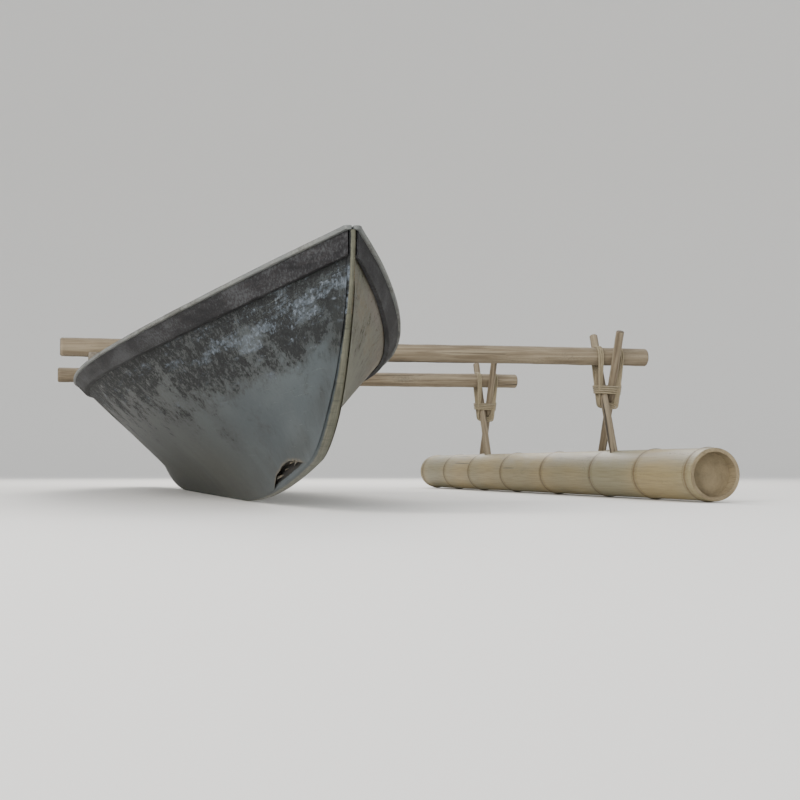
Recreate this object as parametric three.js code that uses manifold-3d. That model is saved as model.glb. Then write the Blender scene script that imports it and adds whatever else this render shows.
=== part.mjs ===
// A small outrigger canoe of weathered fibreglass, about 4 m long, with one bamboo float to port.
// Units are millimetres. X points to the bow, Y to port and Z up.
// The origin is on the flat underside of the keel, amidships, so the canoe stands on Z = 0.
import * as THREE from 'three';
import { mergeVertices } from 'three/addons/utils/BufferGeometryUtils.js';
import Module from 'manifold-3d';

const wasm = await Module();
wasm.setup();

// Hull lines
const LENGTH = 4000;
const HALF_LENGTH = LENGTH / 2;
const HALF_BEAM = 370; // outside of the shell at the gunwale, amidships
const BEAM_POWER = 2.2; // how full the plan outline is towards the ends
const SHEER_HEIGHT = 325; // top edge of the shell amidships
const SHEER_RISE = 120;
const SHEER_POWER = 2.5;
const KEEL_FLAT = 700; // half the length of the keel that lies flat on the ground
const ROCKER_RISE = 90;
const ROCKER_RUN = 1000;
const STEM_LENGTH = 330; // length of the rounded stem at each end
const SHELL = 6;
const PANEL_CAMBER = 9; // how far a side panel swells out from flat
const CAMBER_CHORD = 460; // panel width at which the swell is full
const COVE_DROP = 24; // hollow fillet where a panel meets the keel ridge
const COVE_REACH = 0.2; // share of the panel that it takes up
const GAP = 0.3; // clearance between touching pieces

// Keel ridge
const RIDGE_PROUD = 28;
const RIDGE_DEPTH = 35;
const RIDGE_HALF = 11;
const RIDGE_NOSE = 6;
const RIDGE_TIP = 5;
const RIDGE_TIP_RUN = 170;
const STEM_JOINT = 1450; // where each stem strip meets the keel strip
const STEM_STEPS = 9;

// Seam that has split open beside the keel, near the bow, on the starboard side
const SPLIT_START = 350; // distances aft of the bow tip
const SPLIT_END = 730;
const SPLIT_WIDTH = 22;
const SPLIT_LIFT = 5;
const SPLIT_LIFT_REACH = 0.16;

// Distances aft of a tip at which the hull has a section; the same list serves both ends
const SHELL_STATIONS = [50, 80, 120, 170, 230, 290, 350, 400, 450, 495, 540, 585, 630, 680, 730,
  840, 960, 1080, 1200, 1325, 1450, 1585, 1720, 1860];
const SHELL_JOINT = 675; // x of the joints between the lengths that each half shell is moulded in
const TIP_STATIONS = [0, 5, 14, 30]; // further stations of the rails, forward of the shell
// Places up a panel, from the keel ridge at 0 to the gunwale at 1
const PANEL_STEPS = [0, 0.05, 0.12, 0.32, 0.56, 0.8, 1];

// Rails
const RUB_DEPTH = 38;
const RUB_THICK = 9;
const RUB_FOOT_GAP = 0.9; // the straight rail stands this far off the swelling panel at its foot
const RUB_THICK_TIP = 6;
const RUB_TAPER = 200;
const RUB_END = 5; // the rub rails stop this far short of the tips
const CAP_THICK = 8;
const CAP_INBOARD = 26;
const CAP_PROUD = 5;
const CAP_BEVEL = 2.5;
const CAP_TIP_TRIM = [9, 3, 0]; // narrowing of the cap at the tip stations, for its rounded end

// Inside the hull
const HEADROOM = 200; // the space that trims the inner pieces goes this far above the gunwale
const KEELSON_HALF_LENGTH = 1660;
const KEELSON_RISE = 30;
const FLOOR_TOP = 118;
const FLOOR_THICK = 12;
const FLOOR_HALF_LENGTH = 650;
const FLOOR_HALF_WIDTH = 90;
const BEARER_THICK = 30;
const BEARER_PLACES = [['front', 500], ['middle', 0], ['rear', -500]]; // name, x
const SEAT_X = 900;
const SEAT_LENGTH = 260;
const SEAT_TOP = 240;
const SEAT_THICK = 18;
const CLEAT_LENGTH = 230;
const CLEAT_HEIGHT = 34;
const CLEAT_INNER = 128;
const DECK_START = 60; // distances from the tip
const DECK_END = 420;
const DECK_THICK = 7;
const DECK_DROP = 2.4;
const DECK_LIP = 34;
const DECK_LIP_THICK = 8;

// Outrigger
const BOOM_X = 560;
const BOOM_RADIUS = 24;
const BOOM_Z = 370;
const BOOM_STARBOARD = -430;
const BOOM_PORT = 1090;
const THWART_TOP = 300;
const THWART_THICK = 22;
const THWART_WIDTH = 50;
const SADDLE_LENGTH = 74;
const SADDLE_WIDTH = 42;
const SADDLE_TOP = 356;
const SADDLE_INSET = 6;
const FLOAT_Y = 980;
const FLOAT_RADIUS = 60;
const FLOAT_JOINT_PROUD = 2.5;
const FLOAT_JOINT_HALF = 8;
const FLOAT_HALF_LENGTH = 1200;
const FLOAT_JOINTS = [-1165, -860, -552, -200, 175, 566, 868, 1165]; // x of the culm's joints
const FLOAT_WALL = 10;
const FLOAT_HOLLOW = 35; // depth of each open end, down to the wall across the last joint
const FLOAT_END_BEVEL = 5;
const PEG_RADIUS = 11;
const PEG_LEAN = THREE.MathUtils.degToRad(24);
const PEG_OFFSET = 12; // each peg of a pair stands this far from the float's centre line
const PEG_FOOT = 96;
const PEG_HEAD = 432;
const ROUND_SIDES = 16;
const PEG_SIDES = 12;

// Lashings, each a plain band of the outer size of its turns of rope
const LASH_THICK = 6;
const LASH_Y = 254;
const LASH_WIDTH = 34;
const LASH_CLEAR = 0.4;
const FLOAT_LASH_WIDTH = 16;
const FLOAT_LASH_FOOT = 7;
const FLOAT_LASH_DROP = 44; // inner bottom of the float lashing, under the pegs' crossing

const SIDES = [['starboard', -1], ['port', 1]]; // name, sign of Y
const ENDS = [['front', 1], ['rear', -1]]; // name, sign of X

function finish(color, roughness, metalness = 0) {
  return { color, roughness, metalness };
}

const FINISHES = {
  gelcoatGrey: finish(0x8d9a9f, 0.6),
  gelcoatGreen: finish(0x97a195, 0.6),
  ridge: finish(0xb4bab2, 0.55),
  railDark: finish(0x3c3136, 0.75),
  capLight: finish(0xaeb4b3, 0.6),
  oldWood: finish(0x8a7a66, 0.85),
  bamboo: finish(0xa99b74, 0.7),
  rope: finish(0xb7ad97, 0.9),
};

const group = new THREE.Group();

function addPiece(name, geometry, finishName) {
  const material = new THREE.MeshStandardMaterial(FINISHES[finishName]);
  const mesh = new THREE.Mesh(geometry, material);
  mesh.name = name;
  group.add(mesh);
  return mesh;
}

// Hull lines as functions of x
function halfBeam(x) {
  return HALF_BEAM * (1 - (Math.abs(x) / HALF_LENGTH) ** BEAM_POWER);
}

function sheer(x) {
  return SHEER_HEIGHT + SHEER_RISE * (Math.abs(x) / HALF_LENGTH) ** SHEER_POWER;
}

function rocker(x) {
  const run = Math.max(0, Math.abs(x) - KEEL_FLAT) / ROCKER_RUN;
  return ROCKER_RISE * run * run;
}

function ridgeHalf(x) {
  const taper = Math.min(1, (HALF_LENGTH - Math.abs(x)) / RIDGE_TIP_RUN);
  return RIDGE_TIP + (RIDGE_HALF - RIDGE_TIP) * taper;
}

// Height of a line that runs inside the keel's underside by the given depth and turns up at the stems
function profileHeight(x, depth) {
  const into = Math.max(0, Math.abs(x) - (HALF_LENGTH - STEM_LENGTH)) / (STEM_LENGTH - depth);
  const base = rocker(x) + depth;
  const top = sheer(HALF_LENGTH - depth);
  return base + (top - base) * (1 - Math.sqrt(1 - Math.min(1, into) ** 2));
}

// A side panel at x runs from beside the ridge to the gunwale
function panelEnds(x) {
  const lower = new THREE.Vector2(ridgeHalf(x) + GAP, profileHeight(x, RIDGE_PROUD));
  const upper = new THREE.Vector2(halfBeam(x), sheer(x));
  return { lower, upper, chord: upper.distanceTo(lower) };
}

// Point of the panel at place t and its direction there, as an angle above the horizontal
function panelPoint(x, t) {
  const { lower, upper, chord } = panelEnds(x);
  const along = upper.clone().sub(lower).divideScalar(chord);
  const outward = new THREE.Vector2(along.y, -along.x);
  const camber = PANEL_CAMBER * Math.min(1, chord / CAMBER_CHORD);
  const point = lower.clone().addScaledVector(along, chord * t);
  point.addScaledVector(outward, camber * 4 * t * (1 - t));
  const turn = Math.atan((camber * 4 * (1 - 2 * t)) / chord);
  return { point, angle: Math.atan2(along.y, along.x) - turn };
}

// Point at a depth inside the panel; at the gunwale it stays level with the edge
function insetPoint(x, t, depth) {
  const { point, angle } = panelPoint(x, t);
  if (t === 1) return new THREE.Vector2(point.x - depth / Math.sin(angle), point.y);
  const inset = new THREE.Vector2(-Math.sin(angle), Math.cos(angle)).multiplyScalar(depth);
  return point.add(inset);
}

// Place up the panel where the surface at this depth meets the side of the ridge
function insetStart(x, depth) {
  const { lower, upper } = panelEnds(x);
  let low = 0;
  let high = Math.min(0.9, (2.5 * depth) / (upper.x - lower.x));
  for (let step = 0; step < 30; step += 1) {
    const middle = (low + high) / 2;
    if (insetPoint(x, middle, depth).x < lower.x) low = middle;
    else high = middle;
  }
  return high;
}

// Width of the open seam at x, on the starboard side of the bow
function splitWidth(x) {
  const share = (HALF_LENGTH - x - SPLIT_START) / (SPLIT_END - SPLIT_START);
  if (share <= 0 || share >= 1) return 0;
  return SPLIT_WIDTH * Math.sin(Math.PI * share);
}

function stationList(distances) {
  const fore = distances.map((distance) => HALF_LENGTH - distance);
  return [...fore, 0, ...fore.map((x) => -x).reverse()];
}

// Twisted faces that lie on each other are all divided the same way: from the corner that is lower
// and nearer amidships to the one that is higher and nearer an end
function splitsFromFirst(a, b, c, d) {
  const firstRingNearer = Math.abs(a[0]) < Math.abs(c[0]);
  return firstRingNearer ? a[2] < b[2] : c[2] < d[2];
}

// Triangles over a ring, which turn the other way round from it at the start of a loft
function capTriangles(ring, offset, atStart) {
  const flat = ring.map(([, y, z]) => new THREE.Vector2(y, z));
  const ringTurn = Math.sign(THREE.ShapeUtils.area(flat));
  return THREE.ShapeUtils.triangulateShape(flat, []).map((triangle) => {
    const turn = Math.sign(THREE.ShapeUtils.area(triangle.map((index) => flat[index])));
    const sameWay = turn === ringTurn;
    const order = sameWay === atStart ? [...triangle].reverse() : triangle;
    return order.map((index) => index + offset);
  });
}

// Solid through a row of rings with the same number of points, closed by a cap at each end
function loft(rings) {
  const count = rings[0].length;
  const positions = rings.flat(2);
  const indices = [];
  for (let ring = 0; ring < rings.length - 1; ring += 1) {
    for (let i = 0; i < count; i += 1) {
      const j = (i + 1) % count;
      const [a, b] = [ring * count + i, ring * count + j];
      const [c, d] = [b + count, a + count];
      const corners = [rings[ring][i], rings[ring][j], rings[ring + 1][j], rings[ring + 1][i]];
      if (splitsFromFirst(...corners)) indices.push(a, b, c, a, c, d);
      else indices.push(a, b, d, b, c, d);
    }
  }
  const last = (rings.length - 1) * count;
  const caps = [...capTriangles(rings[0], 0, true), ...capTriangles(rings.at(-1), last, false)];
  indices.push(...caps.flat());
  const geometry = new THREE.BufferGeometry();
  geometry.setAttribute('position', new THREE.Float32BufferAttribute(positions, 3));
  geometry.setIndex(indices);
  return faceOutward(geometry);
}

function signedVolume(geometry) {
  const position = geometry.getAttribute('position');
  const index = geometry.getIndex();
  const [a, b, c] = [new THREE.Vector3(), new THREE.Vector3(), new THREE.Vector3()];
  let volume = 0;
  for (let i = 0; i < index.count; i += 3) {
    a.fromBufferAttribute(position, index.getX(i));
    b.fromBufferAttribute(position, index.getX(i + 1));
    c.fromBufferAttribute(position, index.getX(i + 2));
    volume += a.dot(b.cross(c)) / 6;
  }
  return volume;
}

function faceOutward(geometry) {
  if (signedVolume(geometry) > 0) return geometry;
  const index = geometry.getIndex();
  for (let i = 0; i < index.count; i += 3) {
    const second = index.getX(i + 1);
    index.setX(i + 1, index.getX(i + 2));
    index.setX(i + 2, second);
  }
  return geometry;
}

function toSolid(geometry) {
  const bare = geometry.clone();
  bare.deleteAttribute('normal');
  bare.deleteAttribute('uv');
  const merged = mergeVertices(bare, 1e-4);
  return new wasm.Manifold(new wasm.Mesh({
    numProp: 3,
    vertProperties: new Float32Array(merged.getAttribute('position').array),
    triVerts: new Uint32Array(merged.getIndex().array),
  }));
}

function toGeometry(solid) {
  const mesh = solid.getMesh();
  const geometry = new THREE.BufferGeometry();
  geometry.setAttribute('position', new THREE.BufferAttribute(mesh.vertProperties, 3));
  geometry.setIndex(new THREE.BufferAttribute(mesh.triVerts, 1));
  return geometry;
}

function box(low, high) {
  const size = high.map((value, axis) => value - low[axis]);
  const geometry = new THREE.BoxGeometry(...size);
  geometry.translate(...low.map((value, axis) => value + size[axis] / 2));
  return geometry;
}

// Round bar between two points
function bar(from, to, radius, sides) {
  const start = new THREE.Vector3(...from);
  const end = new THREE.Vector3(...to);
  const way = end.clone().sub(start);
  const geometry = new THREE.CylinderGeometry(radius, radius, way.length(), sides);
  const turn = new THREE.Quaternion().setFromUnitVectors(
    new THREE.Vector3(0, 1, 0), way.clone().normalize());
  geometry.applyQuaternion(turn);
  geometry.translate(...start.add(end).multiplyScalar(0.5).toArray());
  return geometry;
}

// Hull shell
function shellRing(x, side) {
  const split = side < 0 ? splitWidth(x) : 0;
  const { lower, chord } = panelEnds(x);
  const outerStart = split / chord;
  const innerStart = Math.max(outerStart, insetStart(x, SHELL));
  const lift = (t, start) => {
    const near = Math.max(0, 1 - (t - start) / SPLIT_LIFT_REACH);
    return SPLIT_LIFT * (split / SPLIT_WIDTH) * near * near;
  };
  const outer = PANEL_STEPS.map((step) => {
    const t = outerStart + (1 - outerStart) * step;
    const { point } = panelPoint(x, t);
    const cove = COVE_DROP * Math.max(0, 1 - t / COVE_REACH) ** 2;
    return [x, side * point.x, point.y - cove - lift(t, outerStart)];
  });
  const inner = PANEL_STEPS.map((step) => {
    const t = innerStart + (1 - innerStart) * step;
    const point = insetPoint(x, t, SHELL);
    return [x, side * Math.max(lower.x, point.x), point.y - lift(t, outerStart)];
  });
  return [...outer, ...inner.reverse()];
}

// One length of a half shell, between two places along the hull
function shellLength(side, from, to) {
  const between = stationList(SHELL_STATIONS).filter((x) => x > from && x < to);
  return loft([to, ...between, from].map((x) => shellRing(x, side)));
}

// Space inside the hull, which the inner pieces are trimmed to
function innerSpace() {
  const rings = stationList(SHELL_STATIONS).map((x) => {
    const depth = SHELL + GAP;
    const start = insetStart(x, depth);
    const port = PANEL_STEPS.map((step) => {
      const point = insetPoint(x, start + (1 - start) * step, depth);
      return [x, point.x, point.y];
    });
    const [, topY, topZ] = port.at(-1);
    port.push([x, topY, topZ + HEADROOM]);
    return [...port, ...port.map(([px, y, z]) => [px, -y, z]).reverse()];
  });
  return toSolid(loft(rings));
}

const hullSpace = innerSpace();

function fitted(geometry) {
  return toGeometry(hullSpace.intersect(toSolid(geometry)));
}

// Keel ridge and stems, swept along the profile
function ridgeRing(x, lean, end) {
  const point = (depth) => {
    if (lean === null) return [x, rocker(x) + depth];
    const along = HALF_LENGTH - STEM_LENGTH + (STEM_LENGTH - depth) * Math.sin(lean);
    const base = rocker(along) + depth;
    return [end * along, base + (sheer(HALF_LENGTH - depth) - base) * (1 - Math.cos(lean))];
  };
  const [nose, cheek, root] = [point(0), point(RIDGE_DEPTH * 0.4), point(RIDGE_DEPTH)];
  const half = ridgeHalf(nose[0]);
  const noseHalf = (half * RIDGE_NOSE) / RIDGE_HALF;
  const corner = ([px, z], y) => [px, y, z];
  return [corner(nose, noseHalf), corner(cheek, half), corner(root, ridgeHalf(root[0])),
    corner(root, -ridgeHalf(root[0])), corner(cheek, -half), corner(nose, -noseHalf)];
}

function keelStrip() {
  const reach = STEM_JOINT - GAP / 2;
  const places = [reach, 1200, 1000, 840, KEEL_FLAT];
  const xs = [...places, ...places.map((x) => -x).reverse()];
  return loft(xs.map((x) => ridgeRing(x, null, 1)));
}

function stemStrip(end) {
  const straight = [STEM_JOINT + GAP / 2, HALF_LENGTH - STEM_LENGTH];
  const rings = straight.map((x) => ridgeRing(end * x, null, end));
  for (let step = 1; step <= STEM_STEPS; step += 1) {
    rings.push(ridgeRing(null, (step / STEM_STEPS) * (Math.PI / 2), end));
  }
  return loft(rings);
}

// Rails along the gunwale
function gunwaleAngle(x) {
  const inShell = HALF_LENGTH - SHELL_STATIONS[0];
  return panelPoint(Math.min(Math.abs(x), inShell), 1).angle;
}

function rubThickness(x) {
  const taper = Math.min(1, (HALF_LENGTH - Math.abs(x)) / RUB_TAPER);
  return RUB_THICK_TIP + (RUB_THICK - RUB_THICK_TIP) * taper;
}

// Y of the rub rail's inner and outer faces at a drop below the gunwale, measured down the panel
function rubFaces(x, drop) {
  const angle = gunwaleAngle(x);
  const clearance = GAP + ((RUB_FOOT_GAP - GAP) * drop) / RUB_DEPTH;
  const onPanel = halfBeam(x) - drop * Math.cos(angle) + clearance / Math.sin(angle);
  const inner = Math.max(onPanel, ridgeHalf(x) + GAP);
  return [inner, inner + rubThickness(x) / Math.sin(angle)];
}

function rubRail(side) {
  const stations = [RUB_END, ...TIP_STATIONS.slice(2), ...SHELL_STATIONS];
  const rings = stationList(stations).map((x) => {
    const [topInner, topOuter] = rubFaces(x, 0);
    const [footInner, footOuter] = rubFaces(x, RUB_DEPTH);
    const top = sheer(x);
    const foot = top - RUB_DEPTH * Math.sin(gunwaleAngle(x));
    const corners = [[topInner, top], [topOuter, top], [footOuter, foot], [footInner, foot]];
    return corners.map(([y, z]) => [x, side * y, z]);
  });
  return loft(rings);
}

function capTop(x) {
  return sheer(x) + GAP + CAP_THICK;
}

function gunwaleCap(side) {
  const stations = [...TIP_STATIONS, ...SHELL_STATIONS];
  const rings = stationList(stations).map((x) => {
    const tipIndex = TIP_STATIONS.indexOf(Math.round(HALF_LENGTH - Math.abs(x)));
    const trim = CAP_TIP_TRIM[tipIndex] ?? 0;
    const outer = rubFaces(x, 0)[1] + CAP_PROUD - trim;
    const inner = Math.max(GAP / 2, halfBeam(x) - CAP_INBOARD);
    const [bottom, top] = [sheer(x) + GAP, capTop(x)];
    const corners = [[inner, bottom], [outer, bottom], [outer, top - CAP_BEVEL],
      [outer - CAP_BEVEL, top], [inner, top]];
    return corners.map(([y, z]) => [x, side * y, z]);
  });
  return loft(rings);
}

// Pieces inside the hull
function keelson() {
  const inside = SHELL_STATIONS.filter((distance) => HALF_LENGTH - distance < KEELSON_HALF_LENGTH);
  const xs = [KEELSON_HALF_LENGTH, ...inside.map((distance) => HALF_LENGTH - distance)];
  const rings = [...xs, 0, ...xs.map((x) => -x).reverse()].map((x) => {
    const [low, high] = [profileHeight(x, 0), profileHeight(x, RIDGE_PROUD) + KEELSON_RISE];
    return [[x, -HALF_BEAM, low], [x, HALF_BEAM, low], [x, HALF_BEAM, high], [x, -HALF_BEAM, high]];
  });
  return fitted(loft(rings));
}

function floorBearer(x) {
  const low = profileHeight(x, RIDGE_PROUD) + KEELSON_RISE + GAP;
  const high = FLOOR_TOP - FLOOR_THICK - GAP;
  const half = BEARER_THICK / 2;
  return fitted(box([x - half, -HALF_BEAM, low], [x + half, HALF_BEAM, high]));
}

function floorPlank() {
  return box([-FLOOR_HALF_LENGTH, -FLOOR_HALF_WIDTH, FLOOR_TOP - FLOOR_THICK],
    [FLOOR_HALF_LENGTH, FLOOR_HALF_WIDTH, FLOOR_TOP]);
}

function seat(end) {
  const half = SEAT_LENGTH / 2;
  const x = end * SEAT_X;
  return fitted(box([x - half, -HALF_BEAM, SEAT_TOP - SEAT_THICK], [x + half, HALF_BEAM, SEAT_TOP]));
}

function seatCleat(end, side) {
  const half = CLEAT_LENGTH / 2;
  const x = end * SEAT_X;
  const top = SEAT_TOP - SEAT_THICK - GAP;
  const ys = [side * CLEAT_INNER, side * HALF_BEAM].sort((a, b) => a - b);
  return fitted(box([x - half, ys[0], top - CLEAT_HEIGHT], [x + half, ys[1], top]));
}

// End deck: a flat plate just under the caps, with a lip turned down along its open edge
function endDeck(end) {
  const xs = [HALF_LENGTH - DECK_START, HALF_LENGTH - DECK_END];
  const rings = xs.map((x) => {
    const top = sheer(x) - DECK_DROP;
    return [[end * x, -HALF_BEAM, top - DECK_THICK], [end * x, HALF_BEAM, top - DECK_THICK],
      [end * x, HALF_BEAM, top], [end * x, -HALF_BEAM, top]];
  });
  const edge = xs[1];
  const lipTop = sheer(edge) - DECK_DROP - DECK_THICK / 2;
  const lipXs = [end * edge, end * (edge + DECK_LIP_THICK)].sort((a, b) => a - b);
  const lip = box([lipXs[0], -HALF_BEAM, lipTop - DECK_LIP], [lipXs[1], HALF_BEAM, lipTop]);
  return toGeometry(hullSpace.intersect(toSolid(loft(rings)).add(toSolid(lip))));
}

function thwart(end) {
  const x = end * BOOM_X;
  const half = THWART_WIDTH / 2;
  const low = [x - half, -HALF_BEAM, THWART_TOP - THWART_THICK];
  return fitted(box(low, [x + half, HALF_BEAM, THWART_TOP]));
}

// Outrigger pieces
function boom(end) {
  const x = end * BOOM_X;
  return bar([x, BOOM_STARBOARD, BOOM_Z], [x, BOOM_PORT, BOOM_Z], BOOM_RADIUS, ROUND_SIDES);
}

function boomSaddle(end, side) {
  const x = end * BOOM_X;
  const y = side * (halfBeam(x) - SADDLE_INSET);
  const half = [SADDLE_LENGTH / 2, SADDLE_WIDTH / 2];
  const bottom = capTop(Math.abs(x) + half[0]) + 2 * GAP;
  const block = box([x - half[0], y - half[1], bottom], [x + half[0], y + half[1], SADDLE_TOP]);
  const room = bar([x, y - SADDLE_WIDTH, BOOM_Z], [x, y + SADDLE_WIDTH, BOOM_Z],
    BOOM_RADIUS + GAP, ROUND_SIDES);
  return toGeometry(toSolid(block).subtract(toSolid(room)));
}

// Height at which a pair of pegs cross, so that the boom lies in the fork above
const PEG_CROSSING = BOOM_Z - (BOOM_RADIUS + PEG_RADIUS + GAP) / Math.sin(PEG_LEAN);

function pegLine(end, lean) {
  const x = end * BOOM_X;
  const y = FLOAT_Y + lean * PEG_OFFSET;
  const shift = (z) => lean * (z - PEG_CROSSING) * Math.tan(PEG_LEAN);
  return [[x + shift(PEG_FOOT), y, PEG_FOOT], [x + shift(PEG_HEAD), y, PEG_HEAD]];
}

function peg(end, lean) {
  return bar(...pegLine(end, lean), PEG_RADIUS, PEG_SIDES);
}

const FLOAT_Z = FLOAT_RADIUS + FLOAT_JOINT_PROUD;

// Half outline of an open end of the culm, from its middle outwards: radius, distance along
const FLOAT_END = [[0, FLOAT_HALF_LENGTH - FLOAT_HOLLOW],
  [FLOAT_RADIUS - FLOAT_WALL, FLOAT_HALF_LENGTH - FLOAT_HOLLOW],
  [FLOAT_RADIUS - FLOAT_WALL, FLOAT_HALF_LENGTH],
  [FLOAT_RADIUS - FLOAT_END_BEVEL, FLOAT_HALF_LENGTH],
  [FLOAT_RADIUS, FLOAT_HALF_LENGTH - FLOAT_END_BEVEL]];

// A bamboo culm with raised joints, open ends and a socket for each peg
function float() {
  const profile = FLOAT_END.map(([radius, along]) => [radius, -along]);
  for (const joint of FLOAT_JOINTS) {
    profile.push([FLOAT_RADIUS, joint - FLOAT_JOINT_HALF]);
    profile.push([FLOAT_RADIUS + FLOAT_JOINT_PROUD, joint]);
    profile.push([FLOAT_RADIUS, joint + FLOAT_JOINT_HALF]);
  }
  profile.push(...[...FLOAT_END].reverse());
  const points = profile.map(([radius, along]) => new THREE.Vector2(radius, along));
  const culm = new THREE.LatheGeometry(points, ROUND_SIDES);
  culm.rotateZ(-Math.PI / 2);
  culm.translate(0, FLOAT_Y, FLOAT_Z);
  let solid = toSolid(culm);
  for (const [, end] of ENDS) {
    for (const lean of [-1, 1]) {
      const [foot, head] = pegLine(end, lean);
      solid = solid.subtract(toSolid(bar(foot, head, PEG_RADIUS + GAP, PEG_SIDES)));
    }
  }
  return toGeometry(solid);
}

// Outline of a loop over the boom, down to a foot of the given half width
function loopPath(radius, footHalf, footZ) {
  const points = [[-footHalf, footZ], [footHalf, footZ]];
  for (let step = 0; step <= ROUND_SIDES / 2; step += 1) {
    const angle = (step / (ROUND_SIDES / 2)) * Math.PI;
    points.push([radius * Math.cos(angle), BOOM_Z + radius * Math.sin(angle)]);
  }
  return points.map(([x, z]) => new THREE.Vector2(x, z));
}

// Band of a loop, from y to y + width, round the boom at one end
function loopBand(end, y, width, footHalf, footZ) {
  const radius = BOOM_RADIUS + LASH_CLEAR;
  const shape = new THREE.Shape(loopPath(radius + LASH_THICK, footHalf + LASH_THICK,
    footZ - LASH_THICK));
  shape.holes.push(new THREE.Path(loopPath(radius, footHalf, footZ)));
  const geometry = new THREE.ExtrudeGeometry(shape, { depth: width, bevelEnabled: false });
  geometry.rotateX(Math.PI / 2);
  geometry.translate(end * BOOM_X, y + width, 0);
  return geometry;
}

function hullLashing(end, side) {
  const y = side * LASH_Y - LASH_WIDTH / 2;
  const foot = THWART_TOP - THWART_THICK - LASH_CLEAR;
  return loopBand(end, y, LASH_WIDTH, THWART_WIDTH / 2 + LASH_CLEAR, foot);
}

// Two loops over the boom, one each side of the pegs, joined under the pegs' crossing
function floatLashing(end) {
  const foot = PEG_CROSSING - FLOAT_LASH_DROP;
  const reach = PEG_OFFSET + PEG_RADIUS + GAP;
  const ys = [FLOAT_Y - reach - FLOAT_LASH_WIDTH, FLOAT_Y + reach];
  const bands = ys.map((y) => toSolid(loopBand(end, y, FLOAT_LASH_WIDTH, FLOAT_LASH_FOOT, foot)));
  const x = end * BOOM_X;
  const link = box([x - FLOAT_LASH_FOOT, ys[0] + 1, foot - LASH_THICK],
    [x + FLOAT_LASH_FOOT, ys[1] + FLOAT_LASH_WIDTH - 1, foot]);
  return toGeometry(bands[0].add(bands[1]).add(toSolid(link)));
}

const shellEnd = HALF_LENGTH - SHELL_STATIONS[0];
const [jointAft, jointFore] = [SHELL_JOINT - GAP / 2, SHELL_JOINT + GAP / 2];
const SHELL_LENGTHS = [['bow', jointFore, shellEnd], ['middle', -jointAft, jointAft],
  ['stern', -shellEnd, -jointFore]]; // name, from x, to x
for (const [sideName, side] of SIDES) {
  const finishName = side < 0 ? 'gelcoatGrey' : 'gelcoatGreen';
  for (const [name, from, to] of SHELL_LENGTHS) {
    addPiece(`hull_${sideName}_${name}`, shellLength(side, from, to), finishName);
  }
}
addPiece('keel_strip', keelStrip(), 'ridge');
addPiece('stem_strip_bow', stemStrip(1), 'ridge');
addPiece('stem_strip_stern', stemStrip(-1), 'ridge');
for (const [name, side] of SIDES) {
  addPiece(`rub_rail_${name}`, rubRail(side), 'railDark');
  addPiece(`gunwale_cap_${name}`, gunwaleCap(side), 'capLight');
}
addPiece('keelson', keelson(), 'oldWood');
for (const [name, x] of BEARER_PLACES) addPiece(`floor_bearer_${name}`, floorBearer(x), 'oldWood');
addPiece('floor_plank', floorPlank(), 'oldWood');
addPiece('end_deck_bow', endDeck(1), 'capLight');
addPiece('end_deck_stern', endDeck(-1), 'capLight');
for (const [name, end] of ENDS) {
  addPiece(`seat_${name}`, seat(end), 'oldWood');
  addPiece(`thwart_${name}`, thwart(end), 'oldWood');
  addPiece(`boom_${name}`, boom(end), 'oldWood');
  addPiece(`float_peg_${name}_fore`, peg(end, 1), 'oldWood');
  addPiece(`float_peg_${name}_aft`, peg(end, -1), 'oldWood');
  addPiece(`float_lashing_${name}`, floatLashing(end), 'rope');
  for (const [sideName, side] of SIDES) {
    addPiece(`seat_cleat_${name}_${sideName}`, seatCleat(end, side), 'oldWood');
    addPiece(`boom_saddle_${name}_${sideName}`, boomSaddle(end, side), 'oldWood');
    addPiece(`hull_lashing_${name}_${sideName}`, hullLashing(end, side), 'rope');
  }
}
addPiece('float', float(), 'bamboo');

export default group;
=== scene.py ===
"""Finish of a small outrigger canoe of weathered fibreglass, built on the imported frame.

Units are metres. X points to the bow, Y to port and Z up. The hull lines are the same formulas as in
the part's source, drawn finer here, and every other piece takes its place from the frame.
"""
import math

import bpy
import numpy as np
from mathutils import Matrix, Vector, noise


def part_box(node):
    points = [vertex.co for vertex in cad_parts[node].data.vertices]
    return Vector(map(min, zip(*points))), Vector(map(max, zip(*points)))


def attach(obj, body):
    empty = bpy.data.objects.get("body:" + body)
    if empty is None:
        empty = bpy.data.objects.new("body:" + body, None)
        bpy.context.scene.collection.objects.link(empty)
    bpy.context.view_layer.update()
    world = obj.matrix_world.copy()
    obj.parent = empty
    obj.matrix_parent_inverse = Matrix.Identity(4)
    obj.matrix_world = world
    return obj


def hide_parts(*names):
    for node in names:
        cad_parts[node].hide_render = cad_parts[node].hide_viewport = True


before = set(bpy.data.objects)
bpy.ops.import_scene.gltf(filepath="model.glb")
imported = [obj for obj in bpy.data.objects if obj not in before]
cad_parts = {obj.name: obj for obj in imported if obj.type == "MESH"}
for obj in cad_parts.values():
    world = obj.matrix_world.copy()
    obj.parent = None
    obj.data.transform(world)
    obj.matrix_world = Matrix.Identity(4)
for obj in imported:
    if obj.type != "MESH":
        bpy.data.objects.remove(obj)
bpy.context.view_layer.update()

# Hull lines
HALF_LENGTH = 2.0
HALF_BEAM = 0.370
BEAM_POWER = 2.2
SHEER_HEIGHT = 0.325
SHEER_RISE = 0.120
SHEER_POWER = 2.5
KEEL_FLAT = 0.700
ROCKER_RISE = 0.090
STEM_LENGTH = 0.330
SHELL = 0.006
PANEL_CAMBER = 0.009
CAMBER_CHORD = 0.460
PANEL_WAVES = ((0.0016, 0.30, 0), (0.0006, 0.09, 5))  # height, size, seed, as in the other tables of dents
COVE_DROP = 0.024
COVE_REACH = 0.20
INSIDE_SHIFT = 5  # the inside takes its patterns from this far along
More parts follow.
